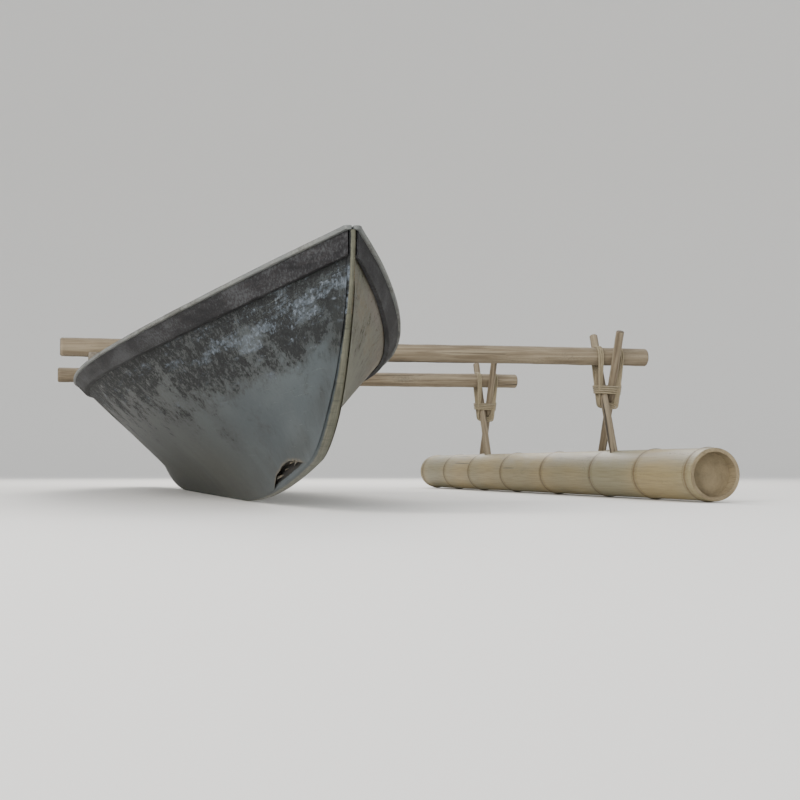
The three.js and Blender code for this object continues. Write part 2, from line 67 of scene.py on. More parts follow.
GAP = 0.0003

# Keel ridge
RIDGE_PROUD = 0.028
RIDGE_DEPTH = 0.035
RIDGE_HALF = 0.011
RIDGE_TIP = 0.005
RIDGE_TIP_RUN = 0.170
# Outline of the ridge, as depth inside and share of the half width
RIDGE_OUTLINE = ((0.0, 0.18), (0.0004, 0.42), (0.0013, 0.68), (0.0025, 0.87), (0.0040, 0.97), (0.0060, 1.0),
                 (0.020, 1.0), (0.0330, 1.0), (0.0350, 0.97), (0.0355, 0.5))

# Seam that has split open on the starboard side of the bow, as distances aft of the tip
SPLIT_START = 0.350
SPLIT_END = 0.730
SPLIT_WIDTH = 0.022
SPLIT_LIFT = 0.005
SPLIT_LIFT_REACH = 0.16
SPLIT_TORN = 0.004  # width of its torn edge
SPLIT_SWAYS = ((0.25, 0.045, 1),)  # share of the width, size, seed
SPLIT_NICKS = ((0.0016, 0.011, 2),)

# Strips of torn laminate in the split: distance aft, length, width, depth inside the keel, bow outwards
SLIVERS = (
    (0.395, 0.085, 0.0050, 0.0215, 0.0040),
    (0.455, 0.060, 0.0030, 0.0265, 0.0070),
    (0.540, 0.045, 0.0022, 0.0250, 0.0030),
    (0.600, 0.095, 0.0055, 0.0200, 0.0045),
    (0.640, 0.055, 0.0030, 0.0270, 0.0080),
)
SLIVER_OUTLINE = ((-1, -0.3), (0, -1), (1, -0.3), (0.6, 1), (-0.6, 1))  # shares of thickness and half width

# Rails
RUB_DEPTH = 0.038
RUB_THICK = 0.009
RUB_THICK_TIP = 0.006
RUB_FOOT_GAP = 0.0009
RUB_TAPER = 0.200
RUB_END = 0.005
RUB_ROUND = 0.010  # the rounded end of each rub rail is this long
RUB_END_SHARE = 0.25  # share of its thickness that is left at the end
RUB_EDGE = 0.0016
RUB_DENTS = ((0.0005, 0.06, 8), (0.0003, 0.018, 9))
CAP_THICK = 0.008
CAP_INBOARD = 0.026
CAP_PROUD = 0.005
CAP_ROUND = 0.016  # the rounded end of each cap rail is this long
CAP_END_LINE = 0.42  # its ends close in on a line at this share of its width
CAP_END_SHARE = 0.12
CAP_EDGE = 0.0024
CAP_DENTS = ((0.0007, 0.07, 11), (0.0004, 0.02, 12))

# Inside the hull
KEELSON_HALF_LENGTH = 1.660
KEELSON_RISE = 0.030
DECK_START = 0.045
DECK_END = 0.420
DECK_THICK = 0.007
DECK_DROP = 0.0024
DECK_CROWN = 0.005
DECK_WAVES = ((0.0006, 0.08, 14),)
DECK_LIP = 0.034
DECK_LIP_THICK = 0.008
DECK_SINK = 0.0004  # the lip stands this far inside the deck's skin
BOARD_ROUND = 0.003
BOARD_DENTS = ((0.0010, 0.11, 0), (0.0005, 0.03, 3))
BOARD_SINK = 0.0006
BOARD_WAVES = ((0.0006, 0.20, 6),)
PLANK_CUP = 0.00108
PLANK_WEAR = ((0.008, 0.09, 21),)  # as a share of the width
NAIL_SINK = 0.0010
PLANK_NAIL_SINK = 0.0011
NAIL_RADIUS = 0.0036
NAIL_PROFILE = ((1.0, -0.0006), (1.0, 0.0002), (0.75, 0.0008), (0.3, 0.0010))  # share of radius, height
SEAT_NAILS = ((-0.36, 0.030), (0.02, 0.026), (0.35, 0.032))  # share of the seat's length, distance inboard
PLANK_NAILS = (-0.66, 0.62)  # shares of the half width

# Poles and bamboo float
POLE_WANDER = 0.0016
POLE_SHARE = 0.965  # peeled poles are this much thinner than the solids
POLE_SWELLS = ((0.035, 3.0, 0), (0.02, 0.7, 1))  # as shares of the radius
KNOT_HEIGHT = 0.07
BOOM_DETAIL = (40, 150, 5)  # points round, rings along, knots
PEG_DETAIL = (24, 60, 3)
FLOAT_WALL = 0.010
FLOAT_HOLLOW = 0.035
FLOAT_SWAY = 0.005
FLOAT_ROUND = 0.0015
FLOAT_SWELLS = ((0.006, 0.05, 31),)
JOINT_PROUD = 0.0025
# Waves in the wall at each joint: height, place past it, width
JOINT_WAVES = ((0.0025, 0.0, 0.0045), (0.0012, 0.011, 0.006), (-0.0009, -0.009, 0.004))
FLOAT_JOINTS = (-1.165, -0.860, -0.552, -0.200, 0.175, 0.566, 0.868, 1.165)
# Rings at each end of a saddle: distance from the end, inset, wear
SADDLE_ENDS = ((0.0, 0.003, 1.0), (0.001, 0.001, 1.0), (0.003, 0.0, 0.2))

# Lashings
ROPE_RADIUS = 0.0028
ROPE_THICK = 2 * ROPE_RADIUS
ROPE_STEP = 0.0035
ROPE_GROOVE = 0.08  # share of the radius
ROPE_LAY = 0.020  # length of rope in which its strands go once round
ROPE_TAIL = ((-0.004, -0.003, -0.004), (-0.006, -0.005, -0.012), (-0.006, -0.007, -0.026),
             (-0.008, -0.006, -0.040), (-0.011, -0.006, -0.050))  # steps from the end of a binding
HULL_LASH_TURNS = 7
FLOAT_LASH_TURNS = 3
BINDING_LEVELS = range(-2, 3)  # the turns of a binding, counted in rope thicknesses from its middle
PEG_LEAN = math.radians(24)

# Finish
BUMP_STRENGTH = 1.15
HULL_SPECULAR = 0.25
RAIL_SPECULAR = 0.15
EVEN = (1.0, 1.0, 1.0)  # stretch of a pattern along its three axes
FLAT = (1.0, 1.0, 0.0)

# Mildew on each side: reach down the panel aft, shares in the belt and at the tip, film, spots, worn spots
MILDEW = {-1: (0.36, 0.92, 1.0, (35, 37, 36), (19, 20, 21), (31, 33, 33)),
          1: (0.24, 0.55, 0.4, (60, 57, 44), (34, 30, 22), (50, 46, 35))}
SCUFFS = {-1: ((74, 81, 88), (100, 107, 115)), 1: ((92, 84, 68), (112, 103, 86))}  # dull, bright

# Studio
BOWL_FLAT = 11.0
BOWL_BEND = 4.0
BOWL_HEIGHT = 9.0
LIGHTS = (  # name, place, target, size, power, colour, spread in degrees
    ("key", (3.8, -3.6, 3.4), (0.8, 0, 0.3), 3.0, 230, (1.0, 0.97, 0.93), 180),
    ("fill", (3.0, 4.0, 2.6), (0.6, 0.4, 0.2), 3.0, 50, (0.93, 0.96, 1.0), 180),
    ("low", (5.2, -3.4, 1.1), (1.4, 0, 0.2), 2.0, 36, (1.0, 1.0, 1.0), 80),
    ("back", (-4.0, 1.0, 3.6), (0, 0.2, 0.3), 2.5, 200, (1.0, 0.96, 0.90), 180),
)
CAMERA_AZIMUTH = math.radians(76.6)  # it looks aft and to port, 13 degrees off the keel
CAMERA_PLACE = Vector((4.20, -0.45, 0.08))
CAMERA_RISE = math.radians(2.6)
CAMERA_LENS = 66.0

SIDES = (("starboard", -1), ("port", 1))
ENDS = ("front", "rear")
BEARERS = ("front", "middle", "rear")


def half_beam(x):
    return HALF_BEAM * (1 - (np.abs(x) / HALF_LENGTH) ** BEAM_POWER)


def sheer(x):
    return SHEER_HEIGHT + SHEER_RISE * (np.abs(x) / HALF_LENGTH) ** SHEER_POWER


def rocker(x):
    return ROCKER_RISE * np.maximum(0, np.abs(x) - KEEL_FLAT) ** 2


def ridge_half(x):
    taper = np.minimum(1, (HALF_LENGTH - np.abs(x)) / RIDGE_TIP_RUN)
    return RIDGE_TIP + (RIDGE_HALF - RIDGE_TIP) * taper


def profile_height(x, depth):
    """Height of a line at a depth inside the keel's underside, which turns up at the stems."""
    into = np.maximum(0, np.abs(x) - (HALF_LENGTH - STEM_LENGTH)) / (STEM_LENGTH - depth)
    base = rocker(x) + depth
    top = sheer(HALF_LENGTH - depth)
    return base + (top - base) * (1 - np.sqrt(1 - np.minimum(1, into) ** 2))


def stem_lean(x):
    """How far the keel line has turned up towards vertical at x."""
    into = (np.abs(x) - (HALF_LENGTH - STEM_LENGTH)) / (STEM_LENGTH - RIDGE_PROUD)
    return np.arcsin(np.clip(into, 0, 1))


def panel_chord(x):
    rise = sheer(x) - profile_height(x, RIDGE_PROUD)
    return np.hypot(half_beam(x) - ridge_half(x) - GAP, rise)


def panel(x, t, depth=0.0):
    """Y, Z and slope at place t up a side panel, 0 at the ridge and 1 at the gunwale, at a depth inside."""
    low_y = ridge_half(x) + GAP
    low_z = profile_height(x, RIDGE_PROUD)
    run = half_beam(x) - low_y
    rise = sheer(x) - low_z
    chord = np.maximum(np.hypot(run, rise), 1e-6)
    camber = PANEL_CAMBER * np.minimum(1, chord / CAMBER_CHORD)
    bulge = camber * 4 * t * (1 - t)
    angle = np.arctan2(rise, run) - np.arctan(camber * 4 * (1 - 2 * t) / chord)
    y = low_y + run * t + bulge * rise / chord - depth * np.sin(angle)
    z = low_z + rise * t - bulge * run / chord + depth * np.cos(angle)
    return y, z, angle


def inner_half(x, z):
    """Half width of the space inside the hull at a height."""
    low = np.zeros_like(z)
    high = np.ones_like(z)
    for _ in range(24):
        middle = (low + high) / 2
        under = panel(x, middle, SHELL + GAP)[1] < z
        low = np.where(under, middle, low)
        high = np.where(under, high, middle)
    return np.maximum(panel(x, low, SHELL + GAP)[0], 0.001)


def gunwale_angle(x):
    return panel(np.minimum(np.abs(x), HALF_LENGTH - 0.050), 1.0)[2]


def split_width(x):
    share = np.clip((HALF_LENGTH - x - SPLIT_START) / (SPLIT_END - SPLIT_START), 0, 1)
    return SPLIT_WIDTH * np.sin(np.pi * share)


def spread(count, reach):
    """Places from -reach to reach, closer together towards both ends."""
    u = np.linspace(-1, 1, count)
    return reach * (1.5 * u - 0.5 * u ** 3)


def joined(*parts):
    """Points from their coordinates, each of which may be a number, a row or a column."""
    return np.stack(np.broadcast_arrays(*parts), -1)


def field(points, size, seed):
    """Smooth noise between about -1 and 1 at each point, with features of the given size."""
    flat = points.reshape(-1, 3) / size + 13.7 * (seed + 1)
    values = [noise.noise(Vector(point)) for point in flat]
    return np.array(values).reshape(points.shape[:-1])


def waves(points, table, seed=0):
    """Sum of noises from rows of height, size and seed."""
    return sum(height * field(points, size, seed + more) for height, size, more in table)


def placed(node):
    """Middle and half size of a node."""
    low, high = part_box(node)
    return (low + high) / 2, (high - low) / 2


def put(name, data):
    """Puts a new object into the scene."""
    made = bpy.data.objects.new(name, data)
    bpy.context.scene.collection.objects.link(made)
    return made


class Shape:
    """Points, faces and named values of a mesh, gathered skin by skin."""

    def __init__(self):
        self.points = []
        self.faces = []
        self.values = {}  # name to a list of (index of the first point, values)

    def skin(self, rings, **values):
        """Adds a closed skin through rings of points, with a cap at each end."""
        count, width = rings.shape[:2]
        first = len(self.points)
        start = first + np.arange(count - 1)[:, None] * width
        column = np.arange(width)[None, :]
        after = (column + 1) % width
        quads = joined(start + column, start + after, start + width + after, start + width + column)
        self.faces += quads.reshape(-1, 4).tolist()
        self.faces.append([first + i for i in reversed(range(width))])
        self.faces.append([first + (count - 1) * width + i for i in range(width)])
        self.points += rings.reshape(-1, 3).tolist()
        for name, value in values.items():
            value = np.asarray(value, float)
            vector = value.ndim == 3
            full = np.broadcast_to(value, rings.shape if vector else rings.shape[:2])
            self.values.setdefault(name, []).append((first, full.reshape(-1, 3 if vector else 1)))

    def piece(self, name, slot, nodes, sharp=35):
        """Makes the object, rides it on the canoe and lets it stand for its CAD nodes."""
        mesh = bpy.data.meshes.new(name)
        mesh.from_pydata(self.points, [], self.faces)
        for key, parts in self.values.items():
            values = np.zeros((len(self.points), parts[0][1].shape[1]))
            for first, part in parts:
                values[first:first + len(part)] = part
            kind, channel = ("FLOAT_VECTOR", "vector") if values.shape[1] == 3 else ("FLOAT", "value")
            attribute = mesh.attributes.new(key, kind, "POINT")
            attribute.data.foreach_set(channel, values.ravel())
        mesh.shade_smooth()
        mesh.set_sharp_from_angle(angle=math.radians(sharp))
        mesh.materials.append(MATERIALS[slot])
        made = put(name, mesh)
        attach(made, "root")
        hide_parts(*nodes)


def one_skin(name, slot, nodes, rings, sharp=35, **values):
    """Makes a piece that is a single closed skin."""
    shape = Shape()
    shape.skin(rings, **values)
    shape.piece(name, slot, nodes, sharp)


def rounded(corners, radius, steps=4, fill=(0.06, 0.35, 0.65, 0.94)):
    """Outlines with rounded corners, one a row, and how near each point is to a corner's middle."""
    ways = [np.roll(corners, shift, axis=1) - corners for shift in (1, -1)]
    before, after = [(way / np.linalg.norm(way, axis=2, keepdims=True))[:, :, None] for way in ways]
    share = np.linspace(0, 1, steps + 1)[:, None]
    bends = corners[:, :, None] + radius * (before * (1 - share) ** 2 + after * share ** 2)
    stop = bends[:, :, -1:]
    start = np.roll(bends[:, :, :1], -1, axis=1)
    points = np.concatenate([bends, stop + (start - stop) * np.array(fill)[:, None]], axis=2)
    edge = np.concatenate([1 - np.abs(2 * share[:, 0] - 1), np.zeros(len(fill))])
    return points.reshape(len(corners), -1, 2), np.tile(edge, corners.shape[:2])


def bar_outline(low, high, radius=BOARD_ROUND, **fill):
    """Rounded rectangle between two opposite corners, as the one row of an even bar."""
    return rounded(np.array([[low, (high[0], low[1]), high, (low[0], high[1])]]), radius, **fill)


def tube(centres, across, up, radii):
    """Rings round a line of points, with a radius for each point of each ring."""
    turn = np.linspace(0, 2 * np.pi, radii.shape[1], endpoint=False)[:, None]
    return centres[:, None] + radii[..., None] * (np.cos(turn) * across + np.sin(turn) * up)


# Materials


def tone(red, green, blue):
    """Linear colour for an sRGB colour given from 0 to 255."""
    return (*[((part / 255 + 0.055) / 1.055) ** 2.4 for part in (red, green, blue)], 1.0)


def feed(socket, value):
    """Sets an input of a node, or wires another node to it."""
    value = getattr(value, "socket", value)
    if isinstance(value, bpy.types.NodeSocket):
        socket.id_data.links.new(value, socket)
    else:
        socket.default_value = value


def add_node(tree, kind, inputs, **settings):
    """Adds a node with its settings and its inputs, and gives its outputs."""
    made = tree.nodes.new("ShaderNode" + kind)
    for name, value in settings.items():
        setattr(made, name, value)
    for key, value in inputs.items():
        feed(made.inputs[key], value)
    return made.outputs


def worked_out(operation, first, second=0.0):
    """Value that follows from one or two others, either of which may be a plain number."""
    tree = (first if isinstance(first, Value) else second).socket.id_data
    return Value(add_node(tree, "Math", {0: first, 1: second}, operation=operation)[0])


class Value:
    """A number that varies over a surface, and goes into sums as a plain number does."""

    def __init__(self, socket):
        self.socket = socket

    def __add__(self, other):
        return worked_out("ADD", self, other)

    def __radd__(self, other):
        return worked_out("ADD", other, self)

    def __sub__(self, other):
        return worked_out("SUBTRACT", self, other)

    def __rsub__(self, other):
        return worked_out("SUBTRACT", other, self)

    def __mul__(self, other):
        return worked_out("MULTIPLY", self, other)

    def __truediv__(self, other):
        return worked_out("DIVIDE", self, other)

    def step(self, low, high, start=0.0, stop=1.0):
        """Smooth change from start to stop as the value goes from low to high."""
        inputs = {"Value": self, "From Min": low, "From Max": high, "To Min": start, "To Max": stop}
        outputs = add_node(self.socket.id_data, "MapRange", inputs, interpolation_type="SMOOTHSTEP")
        return Value(outputs["Result"])


class Surface:
    """A material in the making over one set of coordinates, with short calls for the nodes that it needs."""

    def __init__(self, name, place=None):
        self.material = bpy.data.materials.new(name)
        self.material.use_nodes = True
        self.tree = self.material.node_tree
        self.shader = self.tree.nodes["Principled BSDF"]
        self.place = self.vector(place) if place else None
        self.colour = None

    def vector(self, name):
        return add_node(self.tree, "Attribute", {}, attribute_name=name)["Vector"]

    def value(self, name):
        return Value(add_node(self.tree, "Attribute", {}, attribute_name=name)["Fac"])

    def stretch(self, by):
        return add_node(self.tree, "VectorMath", {0: self.place, 1: by}, operation="MULTIPLY")[0]

    def axes(self, by=EVEN):
        return [Value(axis) for axis in add_node(self.tree, "SeparateXYZ", {0: self.stretch(by)})]

    def noise(self, by, scale, detail=5.0, rough=0.55, warp=0.0):
        inputs = {"Vector": self.stretch(by), "Scale": scale, "Detail": detail, "Roughness": rough,
                  "Distortion": warp}
        return Value(add_node(self.tree, "TexNoise", inputs)["Fac"])

    def cells(self, by, scale, feature="F1"):
        inputs = {"Vector": self.stretch(by), "Scale": scale}
        return Value(add_node(self.tree, "TexVoronoi", inputs, feature=feature)["Distance"])

    def ramp(self, value, *stops):
        made = self.tree.nodes.new("ShaderNodeValToRGB")
        feed(made.inputs[0], value)
        elements = made.color_ramp.elements
        while len(elements) < len(stops):
            elements.new(0.5)
        for element, (place, colour) in zip(elements, stops):
            element.position = place
            element.color = tone(*colour)
        return made.outputs["Color"]

    def mix(self, share, first, second):
        """Colour between two, each either made by other nodes or given in sRGB from 0 to 255."""
        first, second = [tone(*part) if isinstance(part, tuple) else part for part in (first, second)]
        return add_node(self.tree, "Mix", {0: share, 6: first, 7: second}, data_type="RGBA")[2]

    def coat(self, share, colour):
        """Lays a share of another colour over the colour so far."""
        self.colour = self.mix(share, self.colour, colour)

    def done(self, roughness, height, depth, specular=0.5):
        """Wires colour, roughness and a bump of the given depth in metres, and gives the material."""
        bump = add_node(self.tree, "Bump", {"Strength": BUMP_STRENGTH, "Distance": depth, "Height": height})
        for name, value in (("Base Color", self.colour), ("Roughness", roughness), ("Normal", bump[0]),
                            ("Specular IOR Level", specular)):
            feed(self.shader.inputs[name], value)
        return self.material


def gelcoat(name, side):
    """Weathered gelcoat outside and bare laminate inside, over one thin shell."""
    s = Surface(name, "sheet")
    roughness, skin, cloud, fine = outer_skin(s, side)
    from_keel = s.axes()[2]
    # Painted shade, partly grime, in the hollow of the cove beside the keel ridge, stronger to starboard.
    hollow = from_keel.step(0.06, 0.018) * from_keel.step(0.0, 0.012, 0.3, 1.0)
    s.coat(hollow * cloud.step(0.35, 0.6, 0.1, 0.5 if side < 0 else 0.15), (30, 33, 31))
    torn_and_shade = s.mix(fine.step(0.35, 0.65), (50, 45, 36), (96, 87, 70))
    s.coat(s.value("torn") * fine.step(0.3, 0.6, 0.5, 1.0), torn_and_shade)
    inside = s.value("inside").step(0.4, 0.6)
    bare, weave = laminate(s, from_keel, cloud, fine)
    s.coat(inside, bare)
    return s.done(roughness, (1.0 - inside) * skin + inside * weave, 0.0008, HULL_SPECULAR)


def outer_skin(s, side):
    """Colours the outside of one side, and gives its roughness, its height and the two noises it shares."""
    along, from_rail, from_keel = s.axes()
    broad = s.noise((1.0, 1.6, 0.0), 3.2, 3.0)
    cloud = s.noise((0.8, 1.3, 0.0), 9.0, 7.0, 0.6, 0.2)
    fine = s.noise(FLAT, 95.0, 6.0, 0.7)
    grit = s.noise(FLAT, 420.0, 3.0, 0.6)
    clean_gelcoat(s, side, along, from_keel, broad, cloud)
    mildew = mildew_belt(s, side, along, from_rail, cloud, fine)
    rubbed = rubbed_patches(s, side, along, from_rail, fine)
    if side > 0:
        port_wear(s, along, from_rail, cloud, fine)
    scratch = s.noise((0.025, 1.0, 0.0), 330.0, 2.0, 0.5, 0.8)
    scratched = scratch.step(0.66, 0.7) * broad.step(0.42, 0.6) * fine.step(0.42, 0.55)
    s.coat(scratched * 0.35, (112, 116, 112))
    crack = s.cells((1.0, 0.8, 0.0), 55.0, "DISTANCE_TO_EDGE")
    crazed = crack.step(0.02, 0.0) * (broad + cloud * 0.6).step(0.92, 1.02)
    s.coat(crazed * 0.35, (24, 27, 28))
    run = s.noise((1.0, 0.06, 0.0), 48.0, 5.0, 0.6)
    streaks = run.step(0.52, 0.68) * from_rail.step(0.26, 0.05) * from_rail.step(0.03, 0.06)
    s.coat(streaks * 0.35, (34, 37, 36))
    roughness = 0.5 + mildew * 0.3 + rubbed * 0.1 + fine * 0.12
    skin = mildew * 0.3 + fine * 0.2 + grit * 0.1 - scratched * 0.4 - crazed * 0.4
    return roughness, skin, cloud, fine


def clean_gelcoat(s, side, along, from_keel, broad, cloud):
    """Slate grey to starboard, with painted shade in olive low down and aft, and khaki grey to port."""
    if side < 0:
        s.colour = s.mix(broad.step(0.38, 0.66), (50, 57, 60), (62, 69, 71))
        # Painted shade: a darker olive low down and aft on the starboard side.
        s.coat(along.step(1.5, 0.7) * from_keel.step(0.02, 0.24, 1.0, 0.5), (48, 50, 42))
        s.coat(cloud.step(0.5, 0.7, 0.0, 0.45), (42, 46, 47))
    else:
        s.colour = s.mix(along.step(1.6, 0.7), (85, 84, 70), (70, 71, 57))
        s.coat(broad.step(0.38, 0.66, 0.0, 0.5), (77, 79, 64))
        s.coat(cloud.step(0.5, 0.75, 0.0, 0.45), (64, 63, 49))


def mildew_belt(s, side, along, from_rail, cloud, fine):
    """Grainy dark mildew along the rail, in a belt that widens aft and thins out down the panel."""
    reach, belt_share, tip_share, film, spot, worn_spot = MILDEW[side]
    blotch = s.noise((0.9, 1.2, 0.0), 36.0, 8.0, 0.72)
    speck = s.noise(FLAT, 210.0, 4.0, 0.6)
    grain = blotch * 0.42 + fine * 0.35 + speck * 0.23
    wide = from_rail + (cloud - 0.5) * -0.55
    belt = (wide / along.step(1.9, 1.35, 0.24, reach)).step(1.0, 0.1)
    density = belt * belt_share + along.step(1.6, 1.95, 0.0, 0.2) * tip_share
    excess = grain + density * 0.26 - 0.66
    spots = excess.step(0.0, 0.085)
    s.coat(excess.step(-0.11, 0.035, 0.0, 0.8), film)
    s.coat(spots, s.mix(speck.step(0.42, 0.62), spot, worn_spot))
    return spots


def rubbed_patches(s, side, along, from_rail, fine):
    """Pale scuffs drawn out along the rail: a streaky belt near the bow and scattered marks elsewhere."""
    rub = s.noise((0.3, 1.6, 0.0), 24.0, 9.0, 0.7, 0.2)
    near = from_rail.step(0.14, 0.09) * from_rail.step(0.044, 0.058)
    bow = near * along.step(1.15, 1.6)
    mark = rub * 0.66 + fine * 0.4 + near * 0.02 + bow * 0.07 - 0.59
    rubbed = mark.step(0.0, 0.1) * from_rail.step(0.24, 0.14, 0.12, 1.0)
    s.coat(rubbed * 0.85, s.mix(fine.step(0.48, 0.66), *SCUFFS[side]))
    return rubbed


def port_wear(s, along, from_rail, cloud, fine):
    """Brown speckle on the port side, wider aft, with paler abrasion nearest the rail."""
    share = from_rail / along.step(1.66, 0.85, 0.025, 0.25)
    streak = s.noise((0.6, 1.5, 0.0), 34.0, 9.0, 0.72, 0.3)
    speckle = streak * 0.55 + fine * 0.55 + share * -0.22
    worn = speckle.step(0.33, 0.47) * share.step(1.4, 0.7) * along.step(1.85, 1.62)
    s.coat(worn * 0.85, s.mix(fine.step(0.42, 0.6), (52, 43, 32), (104, 93, 75)))
    pale = along.step(1.3, 1.00) * (share + cloud * 0.6).step(0.85, 0.5) * along.step(-1.2, 0.4, 0.35, 1.0)
    s.coat(pale * 0.8, s.mix(fine.step(0.4, 0.62), (88, 80, 66), (128, 120, 102)))
    pink = from_rail.step(0.075, 0.05) * along.step(1.45, 1.6) * along.step(1.9, 1.75)
    s.coat(pink * 0.4, (106, 95, 88))


def laminate(s, from_keel, cloud, fine):
    """Colour and height of the bare inside, with the weave of the glass showing through the resin."""
    along, across, _ = s.axes((1300.0, 1300.0, 0.0))
    weave = worked_out("SINE", along) * worked_out("SINE", across)
    colour = s.mix(cloud.step(0.35, 0.7), (104, 98, 78), (128, 125, 108))
    colour = s.mix(weave.step(-0.2, 0.9, 0.0, 0.25), colour, (146, 142, 124))
    level = from_keel + (cloud - 0.5) * 0.05
    silt = level.step(0.13, 0.03, 0.0, 0.7) * fine.step(0.25, 0.6, 0.6, 1.0)
    colour = s.mix(silt, colour, (74, 64, 47))
    colour = s.mix((cloud * 0.65 + fine * 0.6).step(0.58, 0.76) * 0.55, colour, (52, 52, 42))
    tide = level.step(0.125, 0.135) * level.step(0.16, 0.137) * 0.7
    return s.mix(tide, colour, (58, 50, 38)), 0.5 + weave * 0.22 + fine * 0.4


def ridge_material():
    """Keel ridge: paler along its crest, partly as a painted highlight and partly from scuffs, with flanks
    finished as the panel beside each and painted shade low on the flanks and in the split.
    """
    s = Surface("keel_ridge", "sheet")
    rough, skin, cloud, fine = outer_skin(s, -1)
    starboard = s.colour
    outer_skin(s, 1)
    s.place = s.vector("profile")
    depth, across, _ = s.axes()
    flank = s.mix(across.step(-0.55, -0.25), starboard, s.colour)
    scrape = s.noise((0.0, 0.01, 0.05), 300.0, 3.0, 0.6)
    patch = s.noise((0.0, 0.01, 1.0), 22.0, 8.0, 0.65)
    # A paler crest, partly a painted highlight along the ridge and partly scuffed wear.
    s.colour = s.mix(patch.step(0.4, 0.62), (78, 78, 67), (92, 92, 79))
    s.coat(scrape.step(0.45, 0.6) * 0.4, (112, 110, 95))
    bare = patch.step(0.58, 0.66) * fine.step(0.35, 0.55)
    s.coat(bare * 0.8, (86, 74, 54))
    s.coat((patch * 0.4 + fine * 0.7).step(0.56, 0.7) * 0.6, (46, 49, 45))
    aside = worked_out("ABSOLUTE", across) + (fine - 0.5) * 0.5
    s.coat((aside + depth.step(0.004, 0.008)).step(0.45, 0.72), flank)
    # Painted shade, partly grime, low on the ridge's flanks where they meet the panels, stronger to
    # starboard.
    grime_and_shade = depth.step(0.004, 0.014) * (cloud + fine * 0.4).step(0.5, 0.85)
    s.coat(grime_and_shade * across.step(0.2, -0.2, 0.15, 0.6), (30, 33, 31))
    # Painted shade, partly torn laminate, deep on the ridge's starboard flank inside the split.
    torn_and_shade = s.value("split") * (depth + (fine - 0.5) * 0.01).step(0.0115, 0.014)
    s.coat(torn_and_shade, s.mix(fine.step(0.4, 0.75), (18, 16, 14), (46, 39, 31)))
    s.coat(s.value("inside"), s.mix(cloud, (74, 66, 50), (100, 93, 74)))
    return s.done(rough + torn_and_shade * 0.3, scrape * 0.25 + skin - bare * 0.4, 0.0008, HULL_SPECULAR)


def rail_material():
    """Near-black rub rail, faded to brown-grey and chafed along its edges."""
    s = Surface("rub_rail", "grain")
    cloud = s.noise((0.5, 2.0, 2.0), 9.0, 8.0, 0.65, 0.5)
    fine = s.noise(EVEN, 190.0, 6.0, 0.7)
    streak = s.noise((0.08, 1.0, 1.0), 240.0, 4.0, 0.6)
    s.colour = s.mix(cloud.step(0.35, 0.68), (20, 20, 22), (36, 34, 35))
    s.coat(streak.step(0.5, 0.72, 0.0, 0.5), (45, 42, 42))
    chafe = (s.value("edge") * 0.3 + cloud * 0.5 + fine * 0.45).step(0.7, 0.84)
    s.coat(chafe * 0.6, (84, 79, 76))
    s.coat((cloud * 0.6 + fine * 0.7).step(0.62, 0.78) * 0.55, (72, 74, 76))
    return s.done(0.6 + fine * 0.25, streak * 0.5 + fine * 0.5 - chafe * 0.3, 0.0008, RAIL_SPECULAR)


def cap_material():
    """Pale gunwale lip and end decks, grimy and chipped."""
    s = Surface("cap_rail", "grain")
    cloud = s.noise((0.7, 1.5, 1.5), 10.0, 8.0, 0.66, 0.5)
    fine = s.noise(EVEN, 170.0, 6.0, 0.7)
    drawn = s.noise((0.07, 1.0, 1.0), 150.0, 4.0, 0.6)
    s.colour = s.mix(cloud.step(0.35, 0.65), (92, 95, 94), (118, 119, 114))
    dirt = (cloud * 0.85 + fine * 0.25).step(0.5, 0.68)
    s.coat(dirt * 0.7, (56, 57, 54))
    s.coat(drawn.step(0.5, 0.7, 0.0, 0.45), (70, 70, 66))
    s.coat(s.cells(EVEN, 60.0).step(0.2, 0.1) * cloud.step(0.45, 0.6) * 0.8, (26, 28, 32))
    chip = (s.value("edge") * 0.25 + fine * 0.8).step(0.66, 0.74)
    s.coat(chip * 0.8, (98, 82, 60))
    return s.done(0.5 + fine * 0.25 + dirt * 0.15, fine * 0.15 + drawn * 0.2 - chip * 0.6, 0.0008)


def wood_material(name, light, middle, dark, scale=1.0):
    """Weathered wood with its grain along the first axis of the grain attribute."""
    s = Surface(name, "grain")
    cut = s.value("cut")
    wander = s.noise((1.2, 6.0, 6.0), 3.0 * scale, 4.0, 0.5)
    fibre = s.noise((0.035, 1.0, 1.0), 260.0 * scale, 6.0, 0.65, 0.5)
    band = s.noise((0.05, 1.0, 1.0), 60.0 * scale, 5.0, 0.6, 1.2)
    fine = s.noise(EVEN, 220.0 * scale, 4.0, 0.6)
    s.colour = s.ramp(band * 0.6 + wander * 0.25 + fibre * 0.25, (0.36, dark), (0.52, middle), (0.7, light))
    check = s.noise((0.022, 1.0, 1.0), 75.0 * scale, 3.0, 0.5, 0.8).step(0.655, 0.69)
    s.coat(check * 0.85, (26, 22, 18))
    s.coat((s.value("edge") * 0.35 + fine * 0.6).step(0.5, 0.72) * 0.45, light)
    s.coat((wander * 0.6 + fine * 0.5).step(0.6, 0.74) * 0.45, (50, 52, 48))
    # Painted shade, partly damp wood: darker where this value is high, as on the keelson's sides low in the
    # vee of the shell.
    s.coat(s.value("damp") * fine.step(0.2, 0.7, 0.95, 0.7), (34, 33, 28))
    _, first, second = s.axes()
    reach = worked_out("SQRT", first * first + second * second)
    rings = worked_out("SINE", reach * 1500.0 + fine * 5.0)
    end_colour = s.mix(rings.step(-0.6, 0.8), middle, dark)
    s.coat(cut, s.mix(wander.step(0.48, 0.6, 0.0, 0.6), end_colour, (60, 52, 42)))
    s.coat(s.value("nail"), s.mix(fine.step(0.4, 0.6), (52, 38, 30), (96, 62, 40)))
    return s.done(0.66 + fibre * 0.25, fibre * 0.6 + band * 0.3 - check * 1.2 + cut * rings * 0.15, 0.0012)


